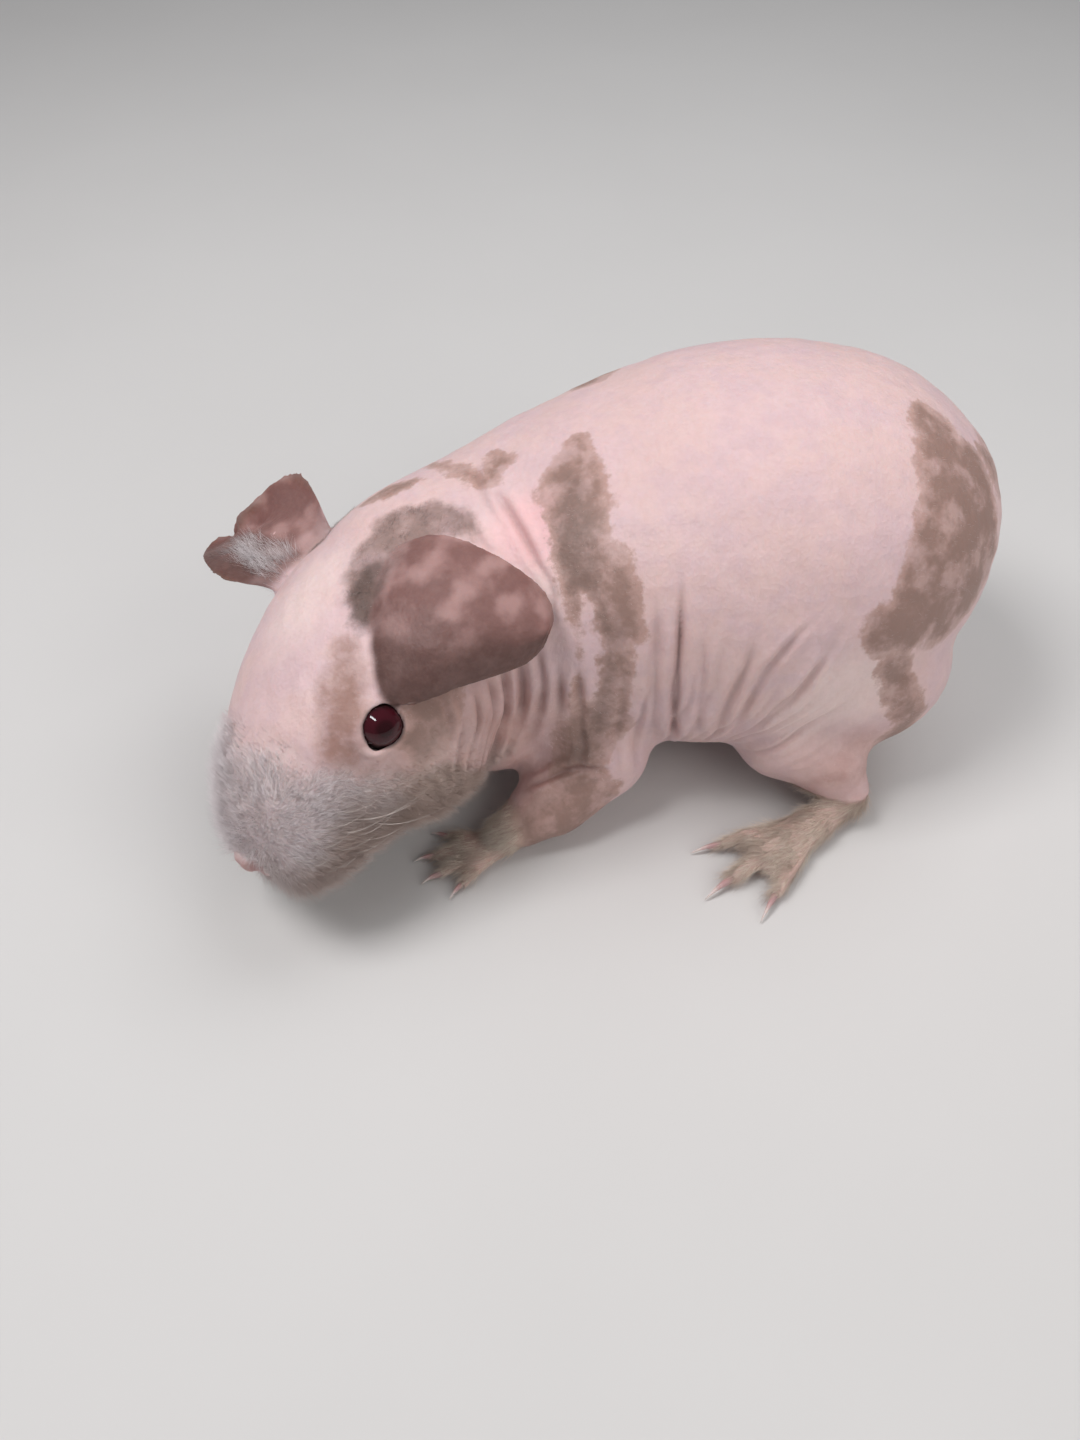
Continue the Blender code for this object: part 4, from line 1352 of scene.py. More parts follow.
        # The painted shade of the folds: a dark line in each groove, and a soft band beside it.
        self.fields["furrow_shade"] = furrow_shade
        self.fields["shade"] = shade
        bare = 1 - np.maximum(self.fields["ear"], self.fields["foot"])
        shift += (0.07 * ripple(places, 3.5, 11) + 0.22 * ripple(places, 13, 12)) * bare
        shift -= self.nostril_depth * bell(MUZZLE.to_nostril(local), 0.75)
        coated = self.down(local, places) * (1 - MUZZLE.bare(local))
        shift -= self.muzzle_depth * coated + self.foot_depth * self.fields["foot"]
        shift += self.ear_relief(places, local)
        places = places + normals * shift[:, None]
        places = self.close_lids(places)
        places[:, 2] = np.maximum(places[:, 2], 0.0)
        Mesh.put(mesh, places)

    def ear_relief(self, places: np.ndarray, local: np.ndarray) -> np.ndarray:
        """The low ridges of the ears' cartilage, and the dark of the near ear's rolled edge and lower
        part, partly painted shade.

        Args:
            places: the points in millimetres.
            local: the same points in the head's axes.

        Returns:
            Millimetres along the normal. It also sets two fields: the ears' own colour, and its dark,
            partly painted shade.
        """
        low, tint, shift = np.zeros((3, len(places)))
        for side in Side:
            reach, ahead, middle, half = EARS[side].measure(local)
            mine = self.fields["ear"] * (local[:, 1] * side.value > 0)
            # The dark under the rolled edge and over the lower half: the rim's own dark, and painted
            # shade.
            edge = smooth_step(half + middle - ahead, 2.6, 0.6)
            lower = smooth_step(ahead - middle, -0.35 * half, 0.85 * half) * 0.75
            low = np.maximum(low, mine * np.maximum(lower, edge * 1.2))
            tint = np.maximum(tint, mine * smooth_step(reach + ripple(places, 3.0, 51), -1.0, 6.0))
            ridge = np.cos(ahead * 0.9 + 0.06 * reach)
            ridge *= smooth_step(reach, 2, 9) * smooth_step(reach, 30, 18)
            shift += mine * 0.10 * ridge
        self.fields["ear_rim_and_shade"] = low
        self.fields["ear_tint"] = tint
        return shift

    def down(self, local: np.ndarray, places: np.ndarray) -> np.ndarray:
        """How fully the short hair of the muzzle, cheeks and jaw has grown.

        Args:
            local: the points in the head's axes.
            places: the same points in the frame, in millimetres.

        Returns:
            One number a point from 0 to 1.
        """
        forward, _, height = local.T
        line = 52.5 + 0.28 * (height - 10.0) - 0.45 * np.maximum(6.0 - height, 0.0)
        line = line + 1.8 * ripple(places, 7, 21) + 1.0 * ripple(places, 2.5, 22)
        full = smooth_step(forward, line - 6.0, line + 7.0)
        jaw = smooth_step(forward, 20.0, 44.0) * smooth_step(height, 1.0, -12.0) * 0.45
        return np.maximum(full, jaw) * self.fields["head"]

    def close_lids(self, places: np.ndarray) -> np.ndarray:
        """Draws the corners of the lids out to points, and lets the lids' edges lie on the eyes.

        Args:
            places: the skin's points in millimetres.

        Returns:
            The points, with none inside an eye.
        """
        for side in Side:
            centre = eye_centre(side)
            axis = Eye(side).axis()
            away = places - centre
            near = np.flatnonzero(np.linalg.norm(away, axis=1) < 9.0)
            spots = away[near]
            depth = spots @ axis
            flat = spots - depth[:, None] * axis
            radius = np.linalg.norm(flat, axis=1)
            way = flat / np.maximum(radius, 1e-6)[:, None]
            move = np.full(len(near), -0.5)
            for corner, stretch, breadth in self.lid_corners:
                point = HEAD.turn() @ np.array(corner)
                point = unit(point - (point @ axis) * axis)
                move += stretch * np.exp((way @ point - 1) / breadth**2 * 1.2)
            move *= np.exp(-(((radius - 4.6) / 1.9) ** 2)) * (depth > 0)
            spots = spots + way * move[:, None]
            gap = np.linalg.norm(spots, axis=1)
            inside = gap < self.lid_edge + 0.2
            spots[inside] = unit(spots[inside]) * np.maximum(gap[inside], self.lid_edge)[:, None]
            places[near] = centre + spots
        return places

    def mark_face(self, places: np.ndarray) -> None:
        """Works out the blush of the skin, its painted shade in low places, nostrils and mouth, and
        where hair covers it.

        Args:
            places: the skin's points in millimetres, after it was shaped.
        """
        local = HEAD.to_head(places)
        forward, across, height = local.T
        gap = np.min([np.linalg.norm(places - eye_centre(side), axis=1) for side in Side], axis=0)
        rim = smooth_step(gap, self.lid_rim, self.lid_rim - 0.6) * 0.85
        nose = MUZZLE.bare(local)
        slot = MUZZLE.to_nostril(local)
        mouth = MUZZLE.mouth(local)
        self.fields["nose"] = nose
        # The lids' own dark rims, and painted shade in the nostrils' slots and along the mouth.
        self.fields["rim"] = np.maximum.reduce((rim, smooth_step(slot, 0.85, 0.35), mouth))
        bare = (1 - 0.92 * nose) * smooth_step(slot, 1.0, 2.2) * (1 - mouth)
        self.fields["down"] = self.down(local, places) * bare
        self.fields["grown"] = self.fields["down"] * smooth_step(gap, self.lid_rim, 9.0)
        nape = smooth_step(np.linalg.norm(places - self.nape, axis=1), 13.0, 3.0)
        soles = smooth_step(places[:, 2], 2.5, 0.3)
        self.fields["blush"] = np.clip(0.8 * nape + 0.6 * soles, 0, 1)
        # Painted shade in the low, tucked places.
        self.fields["warm_shade"] = smooth_step(self.deepest(WARM_SHADE_PATCHES, places, local), -8.0, 9.0)
        self.fields["fair"] = smooth_step(self.deepest(FAIR_PATCHES, places, local), -6.0, 8.0)
        foot = self.fields["foot"]
        sides = np.abs(across) / 18.0
        # Low on the face and more on its sides: light brown hair, and painted shade darker towards the
        # bottom. Random streaks on the feet.
        tan = smooth_step(height + 3.0 * ripple(places, 6, 41), 4.0, -10.0) * (0.45 + 0.55 * sides)
        tan = np.clip(tan, 0, 1) * (forward > 20) * (1 - foot)
        self.fields["tan"] = np.clip(tan + foot * (0.15 + 0.5 * ripple(places, 4, 61)), 0, 1)
        self.fields["sandy"] = foot * smooth_step(places[:, 2], 0.8, 3.0)


@dataclass
class Eye:
    """One eye: a ball with the swell of the cornea on it."""

    side: Side
    radius: float = 5.4
    cornea: float = 0.35
    looks: Point = (0.22, 0.95, 0.22)
    rings: int = 40
    spokes: int = 64

    def axis(self) -> np.ndarray:
        """The way the eye looks, in the frame."""
        x, y, z = self.looks
        return HEAD.turn() @ unit(np.array((x, y * self.side.value, z)))

    def build(self, finish: bpy.types.Material) -> None:
        """Makes the eye.

        Args:
            finish: its material.
        """
        axis = self.axis()
        across = unit(np.cross(axis, (0, 0, 1)))
        up = np.cross(across, axis)
        centre = eye_centre(self.side)
        places = [centre + axis * (self.radius + self.cornea)]
        away = [0.0]
        for ring in range(1, self.rings):
            angle = math.pi * ring / self.rings
            swell = self.cornea * math.exp(-((angle / 0.75) ** 2) * 2)
            for spoke in range(self.spokes):
                turn = 2 * math.pi * spoke / self.spokes
                out = across * math.cos(turn) + up * math.sin(turn)
                way = axis * math.cos(angle) + out * math.sin(angle)
                places.append(centre + way * (self.radius + swell))
                away.append(math.sin(angle) if angle < math.pi / 2 else 1.0)
        places.append(centre - axis * self.radius)
        away.append(1.0)
        obj = Mesh.build("eyeball_" + self.side.word, np.array(places), self.faces())
        Mesh.note(obj.data, "away", np.array(away))
        Mesh.note(obj.data, "place", np.array(places) * MM)
        obj.data.materials.append(finish)
        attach(obj, "root")
        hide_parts("eye_" + self.side.word)
        LOG.info("%s", obj.name)

    def faces(self) -> list[tuple[int, ...]]:
        """The faces of a ball in rings from one pole to the other.

        Returns:
            The faces.
        """
        count, last = self.spokes, 1 + (self.rings - 1) * self.spokes
        faces: list[tuple[int, ...]] = []
        for i in range(count):
            j = (i + 1) % count
            faces.append((0, 1 + j, 1 + i))
            faces.append((last, last - count + i, last - count + j))
            for ring in range(self.rings - 2):
                a, b = 1 + ring * count, 1 + (ring + 1) * count
                faces.append((a + i, a + j, b + j, b + i))
        return faces


@dataclass
class Claws:
    """The claws of one foot, each a curved, tapering cone, oval across and hollowed a little beneath."""

    end: str
    side: Side
    rows: int = 12
    spokes: int = 14
    buried: float = 0.18
    height_share: float = 0.82
    width_share: float = 0.72
    hollow_share: float = 0.75
    arch: float = 0.35
    tip_height: float = 0.55
    lowest: float = 0.12

    def build(self, finish: bpy.types.Material) -> None:
        """Makes the claws of the foot as one piece.

        Args:
            finish: their material.
        """
        prefix = f"claw_{self.end}_{self.side.word}_"
        names = sorted(name for name in frame["nodes"] if name.startswith(prefix))
        claws = [self.claw(name) for name in names]
        places, faces = Mesh.join([(spots, self.faces()) for spots, _ in claws])
        obj = Mesh.build(f"claws_{self.end}_{self.side.word}", places, faces)
        Mesh.note(obj.data, "along", np.concatenate([share for _, share in claws]))
        Mesh.note(obj.data, "place", places * MM)
        obj.data.materials.append(finish)
        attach(obj, "root")
        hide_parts(*names)
        LOG.info("%s: %d claws", obj.name, len(names))

    def claw(self, name: str) -> tuple[np.ndarray, np.ndarray]:
        """One claw, from the root that its solid shows to its tip.

        Args:
            name: the solid's name.

        Returns:
            Its points in millimetres, and how far along it each is.
        """
        solid = Mesh.places(frame["nodes"][name].data)
        foot = Mesh.places(frame["nodes"][f"{self.end}_foot_{self.side.word}"].data).mean(0)
        gaps = np.linalg.norm((solid - foot)[:, :2], axis=1)
        tip = solid[gaps.argmax()]
        way = unit((tip - foot) * (1, 1, 0))
        reach = (solid - tip) @ way
        base = solid[reach < reach.min() + 0.35]
        middle = (base.min(0) + base.max(0)) / 2
        length = np.linalg.norm((tip - middle)[:2])
        way = unit((tip - middle) * (1, 1, 0))
        side = np.cross(way, (0, 0, 1))
        radius = (base[:, 2].max() - base[:, 2].min()) / 2 * self.height_share
        drop = max(0, middle[2] - self.tip_height)
        places = []
        share = []
        for row in range(self.rows):
            t = (1 + self.buried) * row / self.rows - self.buried
            out = max(0.0, t)
            rise = self.arch * radius * math.sin(math.pi * out) - drop * out**2.2
            size = radius * (1 - out) ** 0.62 * (0.9 + 0.1 * math.cos(4 * t))
            for spoke in range(self.spokes):
                turn = 2 * math.pi * spoke / self.spokes
                up = math.sin(turn)
                lift = size * up * (1.0 if up > 0 else self.hollow_share)
                spot = middle + way * (length * t) + side * (size * self.width_share * math.cos(turn))
                spot = spot + np.array((0, 0, rise + lift))
                spot[2] = max(spot[2], self.lowest)
                places.append(spot)
                share.append(out)
        end = middle + way * length
        end[2] = max(0.3, middle[2] - drop)
        root = middle - way * (0.2 * length)
        return np.array([*places, end, root]), np.array([*share, 1.0, 0.0])

    def faces(self) -> list[tuple[int, ...]]:
        """The faces of one claw, which a second point closes at its root.

        Returns:
            The faces.
        """
        root = self.rows * self.spokes + 1
        closing = [(root, i, (i + 1) % self.spokes) for i in range(self.spokes)]
        return Mesh.cone(self.rows, self.spokes) + closing


class Roll(Enum):
    """What the skin is unrolled round for a coat's map: the head, the body, or nothing."""

    HEAD = "head"
    BODY = "body"
    FLAT = "flat"


@dataclass
class Coat:
    """One piece of short hair. Each hair is a thin, bent blade with three sides, rooted in the skin."""

    name: str
    region: Callable[[Skin, np.ndarray, np.ndarray], np.ndarray]
    lie: Callable[[np.ndarray], np.ndarray]
    count: int
    length: float
    finish: HairFinish
    slot: str = "skin"
    roll: Roll = Roll.HEAD
    thickness: float = 0.035
    lift: float = 0.5
    wander: float = 0.3
    swirl: float = 1.2
    seed: int = 1
    rows: int = 2
    droop: float = 0.25
    sink: float = 0.6
    taper: float = 0.75
    flatness: float = 0.6
    root_depth: float = 0.25
    lowest: float = 0.05
    roll_height: float = 42.0
    map_edge: float = 0.005
    map_patch: float = 0.0015

    def build(self, skin: Skin) -> None:
        """Plants the hairs and makes the piece.

        Args:
            skin: the skin that they grow from.
        """
        rng = np.random.default_rng(self.seed)
        mesh = skin.obj.data
        spots = Mesh.places(mesh)
        triangles = Mesh.triangles(mesh)
        local = HEAD.to_head(spots)
        want = self.region(skin, spots, local)
        one, two, three = spots[triangles.T]
        area = np.linalg.norm(np.cross(two - one, three - one), axis=1)
        weight = area * want[triangles].mean(1)
        chosen = rng.choice(len(triangles), self.count, p=weight / weight.sum())
        share = rng.dirichlet((1, 1, 1), self.count)
        trio = triangles[chosen]
        roots = np.einsum("nk,nkc->nc", share, spots[trio])
        normals = unit(np.einsum("nk,nkc->nc", share, Mesh.normals(mesh)[trio]))
        fade = np.einsum("nk,nk->n", share, want[trio])
        obj = self.grow(rng, roots, normals, fade)
        per = len(obj.data.vertices) // self.count
        for name in MARKINGS_AND_SHADE:
            values = np.einsum("nk,nk->n", share, skin.fields[name][trio])
            Mesh.note(obj.data, name, np.repeat(values, per))
        Mesh.note(obj.data, "place", np.repeat(roots * MM, per, axis=0))
        Mesh.note(obj.data, "tone", np.repeat(rng.uniform(0, 1, self.count), per))
        Mesh.note(obj.data, "cover", np.repeat(smooth_step(fade, 0.0, 0.6), per))
        self.unwrap(obj.data, roots, per)
        obj.data.materials.append(self.finish.make())
        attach(obj, "root")
        LOG.info("%s: %d hairs", self.name, self.count)

    def grow(
        self, rng: np.random.Generator, roots: np.ndarray, normals: np.ndarray, fade: np.ndarray
    ) -> bpy.types.Object:
        """Makes the blades.

        Args:
            rng: the source of chance.
            roots: where the hairs grow, in millimetres.
            normals: the way out of the skin there.
            fade: how fully the coat has grown there, which shortens the hairs at its edge.

        Returns:
            The object.
        """
        count = len(roots)
        way = self.lie(roots)
        way = unit(way - normals * np.einsum("nc,nc->n", way, normals)[:, None])
        drift = np.column_stack([ripple(roots, 2.6, 70 + k) for k in range(3)])
        way = unit(way + rng.normal(size=(count, 3)) * self.wander + drift * self.wander * self.swirl)
        start = unit(way * (1 - self.lift) + normals * self.lift)
        lengths = self.length * rng.uniform(0.6, 1.15, count) * (0.45 + 0.55 * np.clip(fade, 0, 1))
        side = unit(np.cross(start, normals) + 1e-6)
        other = np.cross(side, start)

        def spine(t: float) -> np.ndarray:
            """The middle of each blade at a share of its length."""
            bend = way * (self.droop * t * t) - normals * (self.droop * self.sink * t * t)
            return roots - normals * self.root_depth + (start * t + bend) * lengths[:, None]

        places = []
        for row in range(self.rows):
            t = row / self.rows
            middle = spine(t)
            radius = self.thickness * (1 - self.taper * t) * rng.uniform(0.85, 1.15, count)
            for corner in range(3):
                turn = 2 * math.pi * corner / 3
                out = side * math.cos(turn) + other * math.sin(turn) * self.flatness
                places.append(middle + out * radius[:, None])
        places.append(spine(1.0))
        stack = np.stack(places, axis=1)
        stack[..., 2] = np.maximum(stack[..., 2], self.lowest)
        faces = np.arange(count)[:, None, None] * stack.shape[1] + np.array(self.blade())
        return Mesh.build(self.name, stack.reshape(-1, 3), faces.reshape(-1, 3).tolist())

    def blade(self) -> list[tuple[int, int, int]]:
        """The faces of one blade, which has three edges and a point.

        Returns:
            The faces.
        """
        faces = [(0, 2, 1)]
        for row in range(self.rows - 1):
            a, b = row * 3, row * 3 + 3
            for i in range(3):
                j = (i + 1) % 3
                faces += [(a + i, a + j, b + j), (a + i, b + j, b + i)]
        tip = self.rows * 3
        return faces + [(tip - 3 + i, tip - 3 + (i + 1) % 3, tip) for i in range(3)]

    def unwrap(self, mesh: bpy.types.Mesh, roots: np.ndarray, per: int) -> None:
        """Gives each hair a small patch of the map at its root's place on the unrolled skin.

        Args:
            mesh: the piece's mesh.
            roots: where the hairs grow, in millimetres.
            per: how many points a hair has.
        """
        middle = (0.0, 0.0, self.roll_height)
        spots = HEAD.to_head(roots) if self.roll is Roll.HEAD else roots - middle
        flat = self.roll is Roll.FLAT
        around = spots[:, 1] if flat else np.arctan2(spots[:, 1], -spots[:, 2])
        shares = [(c - c.min()) / max(np.ptp(c), 1e-6) for c in (around, spots[:, 0])]
        centre = np.column_stack(shares) * (1 - 2 * self.map_edge) + self.map_edge
        turn = np.arange(per) * 2.4
        patch = np.column_stack((np.cos(turn), np.sin(turn))) * self.map_patch
        corners = (centre[:, None, :] + patch[None, :, :]).reshape(-1, 2)
        layer = mesh.uv_layers.new(name="OFBake")
        index = Mesh.rows(mesh.loops, "vertex_index", np.int32, 1).ravel()
        layer.data.foreach_set("uv", corners[index].astype(np.float32).ravel())


@dataclass
class Whiskers:
    """The whiskers: long, thin, tapering hairs that spring from the lip pads and sweep back."""

    rows: int = 4
    per_row: int = 4
    first: Point = (67.0, 9.0, -1.5)
    row_step: Point = (-0.5, 0.8, -2.6)
    along_step: Point = (-3.6, 1.9, 0.2)
    shortest: float = 8.0
    longest: float = 19.0
    root_radius: float = 0.085
    root_depth: float = 0.6
    lengths: int = 10
    spokes: int = 6
    lowest: float = 0.1
    seed: int = 8

    def build(self, finish: bpy.types.Material, skin: Skin) -> None:
        """Makes all the whiskers as one piece.

        Args:
            finish: their material.
            skin: the skin that they grow from.
        """
        rng = np.random.default_rng(self.seed)
        tree = Mesh.tree(skin.obj.data, 1.0)
        parts = []
        for side, row, number in itertools.product(Side, range(self.rows), range(self.per_row)):
            spot = np.array(self.first) + np.array(self.row_step) * row
            spot = spot + np.array(self.along_step) * number + rng.normal(size=3) * 0.35
            spot = HEAD.to_body(spot * (1, side.value, 1))
            root, normal, _, _ = tree.find_nearest(Vector(spot * MM))
            longer = (self.longest - self.shortest) * (number + rng.uniform(0, 1))
            length = self.shortest + longer / self.per_row
            whisker = self.whisker(rng, side, np.array(root) / MM, np.array(normal), length)
            parts.append((whisker, self.faces()))
        places, faces = Mesh.join(parts)
        obj = Mesh.build("whiskers", places, faces)
        Mesh.note(obj.data, "place", places * MM)
        obj.data.materials.append(finish)
        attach(obj, "root")
        LOG.info("whiskers: %d", len(parts))

    def whisker(
        self, rng: np.random.Generator, side: Side, root: np.ndarray, normal: np.ndarray, length: float
    ) -> np.ndarray:
        """One whisker, bent back along the cheek.

        Args:
            rng: the source of chance.
            side: the side of the muzzle it stands on.
            root: where it leaves the skin, in millimetres.
            normal: the way out of the skin there.
            length: its length in millimetres.

        Returns:
            Its points, ring by ring, and its tip.
        """
        back = HEAD.turn() @ unit(np.array((-0.9, side.value * 0.35, rng.normal(0.0, 0.12))))
        places = []
        spot = root - normal * self.root_depth
        for ring in range(self.lengths):
            t = ring / self.lengths
            way = unit(normal * (1 - t) * 0.75 + back * (0.45 + t))
            across = unit(np.cross(way, normal) + 1e-6)
            up = np.cross(across, way)
            radius = self.root_radius * (1 - t) ** 0.8
            for spoke in range(self.spokes):
                turn = 2 * math.pi * spoke / self.spokes
                places.append(spot + (across * math.cos(turn) + up * math.sin(turn)) * radius)
            spot = spot + way * (length / self.lengths)
        stack = np.array([*places, spot])
        stack[:, 2] = np.maximum(stack[:, 2], self.lowest)
        return stack

    def faces(self) -> list[tuple[int, ...]]:
        """The faces of one whisker, with one face that closes its root."""
        return [tuple(range(self.spokes)), *Mesh.cone(self.lengths, self.spokes)]


@dataclass(frozen=True)
class WhiskerFinish:
    """Whiskers: pale, smooth horn."""

    colour: Colour = (0.62, 0.56, 0.52)
    root: Colour = (0.40, 0.33, 0.30)

    def make(self) -> bpy.types.Material:
        """Makes the material of the whiskers.

        Returns:
            The material.
        """
        shader = Shader("whisker")
        clouds = shader.noise(shader.place(), 3.0, 2)
        colour = shader.mix(clouds.step(0.3, 0.7), self.root, self.colour)
        return shader.finish(Base_Color=colour, Roughness=clouds * 0.1 + 0.3)


@dataclass(frozen=True)
class Lamp:
    """A broad, lit panel that faces the animal. A glint shows only in gloss, where the others don't."""

    name: str
    place: Point
    size: tuple[float, float]
    power: float
    colour: Colour
    glint: bool = False

    def build(self) -> None:
        """Makes the light and turns it to the middle of the animal."""
        light = bpy.data.lights.new(self.name, "AREA")
        light.shape = "RECTANGLE"
        light.size, light.size_y = (edge * MM for edge in self.size)
        light.energy = self.power
        light.color = self.colour
        lamp = bpy.data.objects.new(self.name, light)
        lamp.location = Vector(self.place) * MM
        aim = Vector((0.0, 0.0, 0.04)) - lamp.location
        lamp.rotation_euler = aim.to_track_quat("-Z", "Y").to_euler()
        lamp.visible_glossy = self.glint
        lamp.visible_diffuse = not self.glint
        bpy.context.scene.collection.objects.link(lamp)


LAMPS = (
    Lamp("key", (-300.0, -40.0, 620.0), (240.0, 240.0), 2.7, (1.0, 0.98, 0.985)),
    Lamp("top", (220.0, 180.0, 640.0), (460.0, 460.0), 1.6, (0.97, 0.98, 1.0)),
    Lamp("fill", (330.0, -420.0, 420.0), (480.0, 480.0), 1.5, (1.0, 0.97, 0.95)),
    Lamp("glint", (-260.0, -230.0, 560.0), (250.0, 70.0), 1.6, (0.95, 0.98, 1.0), glint=True),
)


@dataclass(frozen=True)
class Studio:
    """A plain pale floor, soft light and the camera."""

    floor_half: float = 3000.0
    floor_depth: float = 0.02
    floor_dark: Colour = (0.62, 0.61, 0.60)
    floor_light: Colour = (0.66, 0.65, 0.64)
    glow: Colour = (0.88, 0.90, 0.93)
    glow_strength: float = 0.2
    camera_place: Point = (-38.6, -187.9, 218.4)
    azimuth: float = -8.0
    elevation: float = 50.0
    focal_pixels: float = 1150.0
    picture_height: float = 1440.0
    sensor: float = 36.0

    def build(self) -> None:
        """Makes the floor, the lights, the surroundings and the camera."""
        self.make_floor()
        for lamp in LAMPS:
            lamp.build()
        self.make_surroundings()
        self.make_camera()

    def make_floor(self) -> None:
        """A pale matt floor under the animal."""
        corners = np.array(((-1, -1, 0), (1, -1, 0), (1, 1, 0), (-1, 1, 0))) * self.floor_half
        floor = Mesh.build("floor", corners - (0, 0, self.floor_depth), [(0, 1, 2, 3)])
        shader = Shader("floor")
        coords = shader.node("ShaderNodeTexCoord", {}, {}).outputs["Object"]
        colour = shader.mix(shader.noise(coords, 90, 3), self.floor_dark, self.floor_light)
        floor.data.materials.append(shader.finish(Base_Color=colour, Roughness=0.85))

    def make_surroundings(self) -> None:
        """A soft glow from all sides, and colours that show as they are."""
        world = bpy.data.worlds.new("surroundings")
        world.use_nodes = True
        back = world.node_tree.nodes["Background"]
        back.inputs["Color"].default_value = (*self.glow, 1)
        back.inputs["Strength"].default_value = self.glow_strength
        bpy.context.scene.world = world
        bpy.context.scene.view_settings.view_transform = "Standard"

    def make_camera(self) -> None:
        """A camera at the photograph's place, angle and width of view."""
        data = bpy.data.cameras.new("camera")
        data.sensor_width = self.sensor
        data.lens = self.focal_pixels / self.picture_height * self.sensor
        data.clip_start = 0.01
        camera = bpy.data.objects.new("camera", data)
        camera.location = Vector(self.camera_place) * MM
        turn, tilt = math.radians(self.azimuth), math.radians(self.elevation)
        level = math.cos(tilt)
        look = Vector((-math.sin(turn) * level, math.cos(turn) * level, -math.sin(tilt)))
        camera.rotation_euler = look.to_track_quat("-Z", "Y").to_euler()
        bpy.context.scene.collection.objects.link(camera)
        bpy.context.scene.camera = camera


def on_muzzle(skin: Skin, spots: np.ndarray, local: np.ndarray) -> np.ndarray:
    """Where the short white hair of the muzzle grows."""
    return skin.fields["grown"] ** 1.5


def over_body(skin: Skin, spots: np.ndarray, local: np.ndarray) -> np.ndarray:
    """Where the scant fine fuzz of the bare skin grows."""
    return (1 - skin.fields["foot"]) * (1 - skin.fields["ear"]) * smooth_step(spots[:, 2], 4.0, 16.0)


def in_ears(skin: Skin, spots: np.ndarray, local: np.ndarray) -> np.ndarray:
    """Where pale hair stands at the root of the animal's right ear.

    Args:
        skin: the skin with its fields.
        spots: its points in the frame, in millimetres. Not used.
        local: the same points in the head's axes.

    Returns:
        One number a point from 0 to 1.
    """
    reach, ahead, _, _ = EARS[Side.RIGHT].measure(local)
    mine = skin.fields["ear"] * (local[:, 1] < 0)
    return mine * smooth_step(np.abs(ahead - 7.0), 6.5, 2.0) * smooth_step(reach, 26.0, 8.0)


def behind_ears(skin: Skin, spots: np.ndarray, local: np.ndarray) -> np.ndarray:
    """Where the dark hair behind and above the ears grows."""
    on_head = (local[:, 0] > -4) & (local[:, 2] > 8)
    return smooth_step(skin.fields["grey"], -2.0, 3.0) * on_head * (1 - skin.fields["ear"])


def on_feet(skin: Skin, spots: np.ndarray, local: np.ndarray) -> np.ndarray:
    """Where the sandy hair of the feet grows."""
    return skin.fields["sandy"]


def from_nose(roots: np.ndarray) -> np.ndarray:
    """Hair of the face lies back from the nose and a little down."""
    way = (HEAD.to_head(roots) - (76.0, 0.0, 2.0)) * (0.7, 1.0, 1.0)
    return unit(way) @ HEAD.turn().T


def to_rump(roots: np.ndarray) -> np.ndarray:
    """Fuzz of the body lies back towards the rump and down."""
    return np.tile((0.9, 0.0, -0.35), (len(roots), 1))


def along_ear(roots: np.ndarray) -> np.ndarray:
    """Hair of the ears lies out towards their tips.

    Args:
        roots: where the hairs grow, in millimetres.

    Returns:
        The ways in which they lie.
    """
    left = HEAD.to_head(roots)[:, 1] > 0
    ways = np.where(left[:, None], EARS[Side.LEFT].ways()[0], EARS[Side.RIGHT].ways()[0])
    return ways @ HEAD.turn().T


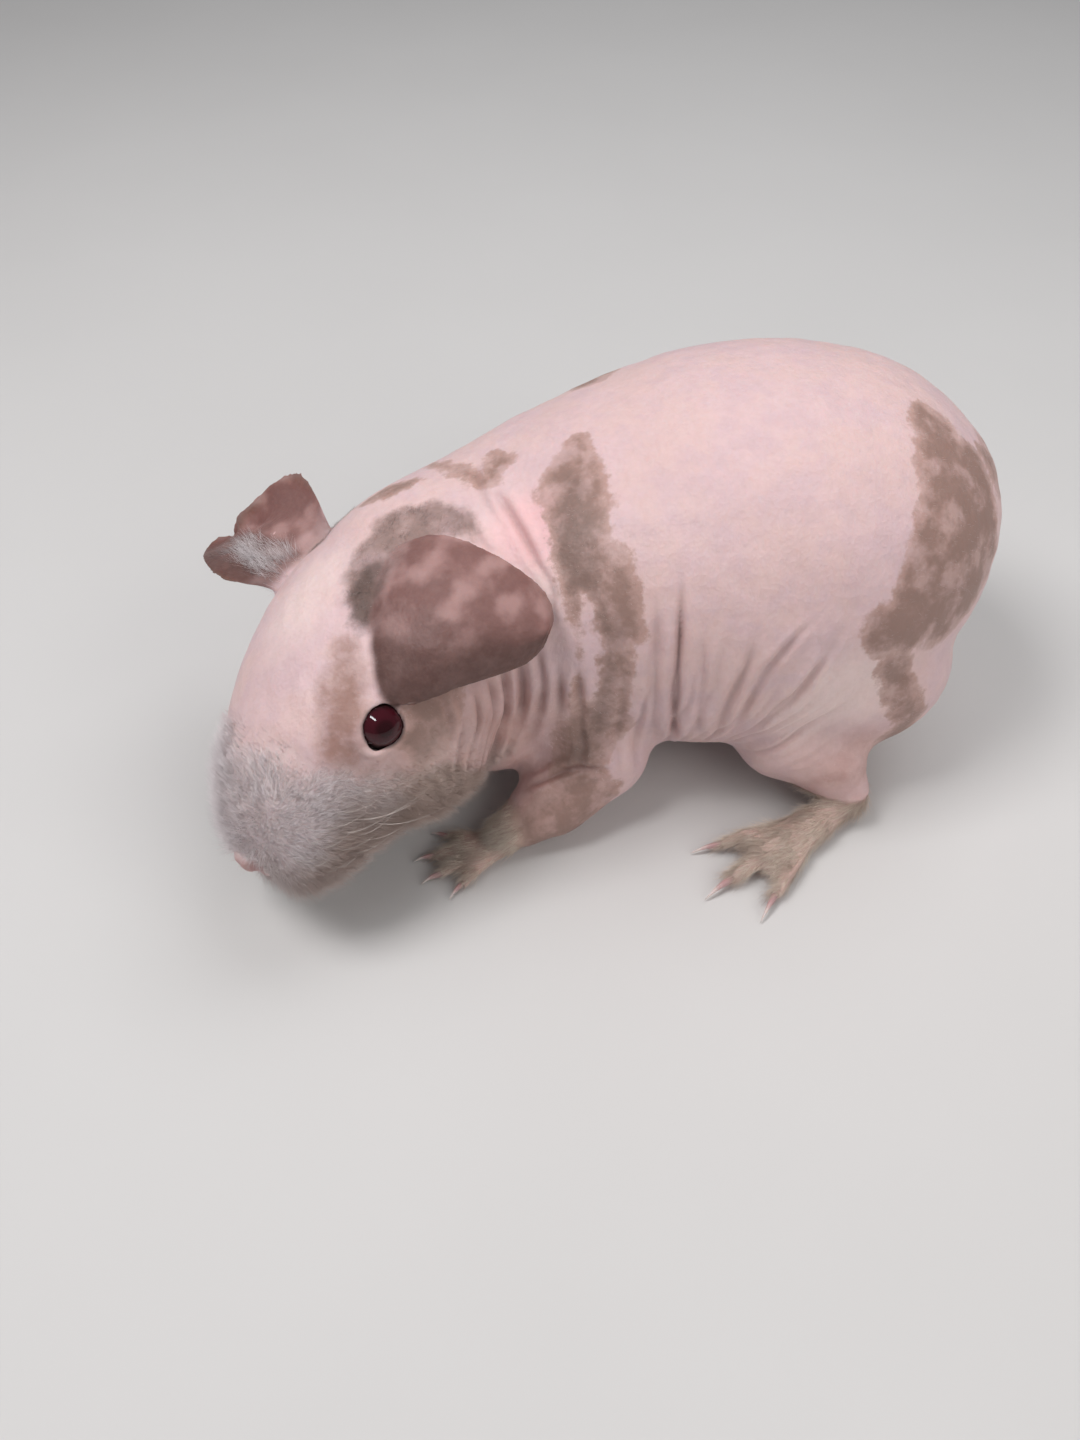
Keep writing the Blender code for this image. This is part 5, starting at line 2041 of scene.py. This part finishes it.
def over_toes(roots: np.ndarray) -> np.ndarray:
    """Hair of the feet lies forward and fans out over the toes.

    Args:
        roots: where the hairs grow, in millimetres.

    Returns:
        The ways in which they lie.
    """
    names = [name for name in frame["nodes"] if name.startswith("claw")]
    claws = np.array([np.mean(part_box(name), axis=0) / MM for name in names])
    near = 1 / np.linalg.norm(roots[:, None, :] - claws[None, :, :], axis=2) ** 3
    aims = near @ claws / near.sum(1)[:, None]
    return unit(unit(aims - roots) + (-0.55, 0.0, 0.0))


WHITE = HairFinish("white_hair", (0.82, 0.765, 0.775), 0.93)
SMOKE = HairFinish("smoke_hair", (0.20, 0.155, 0.135), 0.6)
SANDY = HairFinish("sandy_hair", (0.95, 0.78, 0.67), 0.95)
FUZZ = HairFinish("fuzz", (0.80, 0.74, 0.73), 0.75)
COATS = (
    *(
        Coat(f"muzzle_hair_{number}", on_muzzle, from_nose, 18000, 4.3, WHITE,
             thickness=0.036, lift=0.60, wander=0.34, swirl=1.0, seed=number)
        for number in (1, 2, 3)
    ),
    *(
        Coat(f"foot_hair_{number}", on_feet, over_toes, 17000, 4.2, SANDY, "foot_hair", Roll.FLAT,
             thickness=0.042, lift=0.26, wander=0.22, swirl=0.9, seed=10 + number)
        for number in (1, 2)
    ),
    Coat("ear_root_hair", behind_ears, from_nose, 9000, 1.2, SMOKE, thickness=0.028, lift=0.2, seed=4),
    Coat("ear_hair", in_ears, along_ear, 2600, 5.0, WHITE, lift=0.3, seed=6),
    Coat("body_fuzz", over_body, to_rump, 18000, 1.2, FUZZ, roll=Roll.BODY,
         thickness=0.018, lift=0.45, seed=7),
)


def main() -> None:
    """Builds the animal and its studio."""
    logging.basicConfig(level=logging.INFO, format="%(name)s %(message)s")
    Studio().build()
    skin = Skin()
    skin.build(SkinFinish())
    eye_finish = EyeFinish().make()
    for side in Side:
        Eye(side).build(eye_finish)
    claw_finish = ClawFinish().make()
    for end, side in itertools.product(ENDS, Side):
        Claws(end, side).build(claw_finish)
    Whiskers().build(WhiskerFinish().make(), skin)
    for coat in COATS:
        coat.build(skin)


if __name__ == "__main__":
    main()
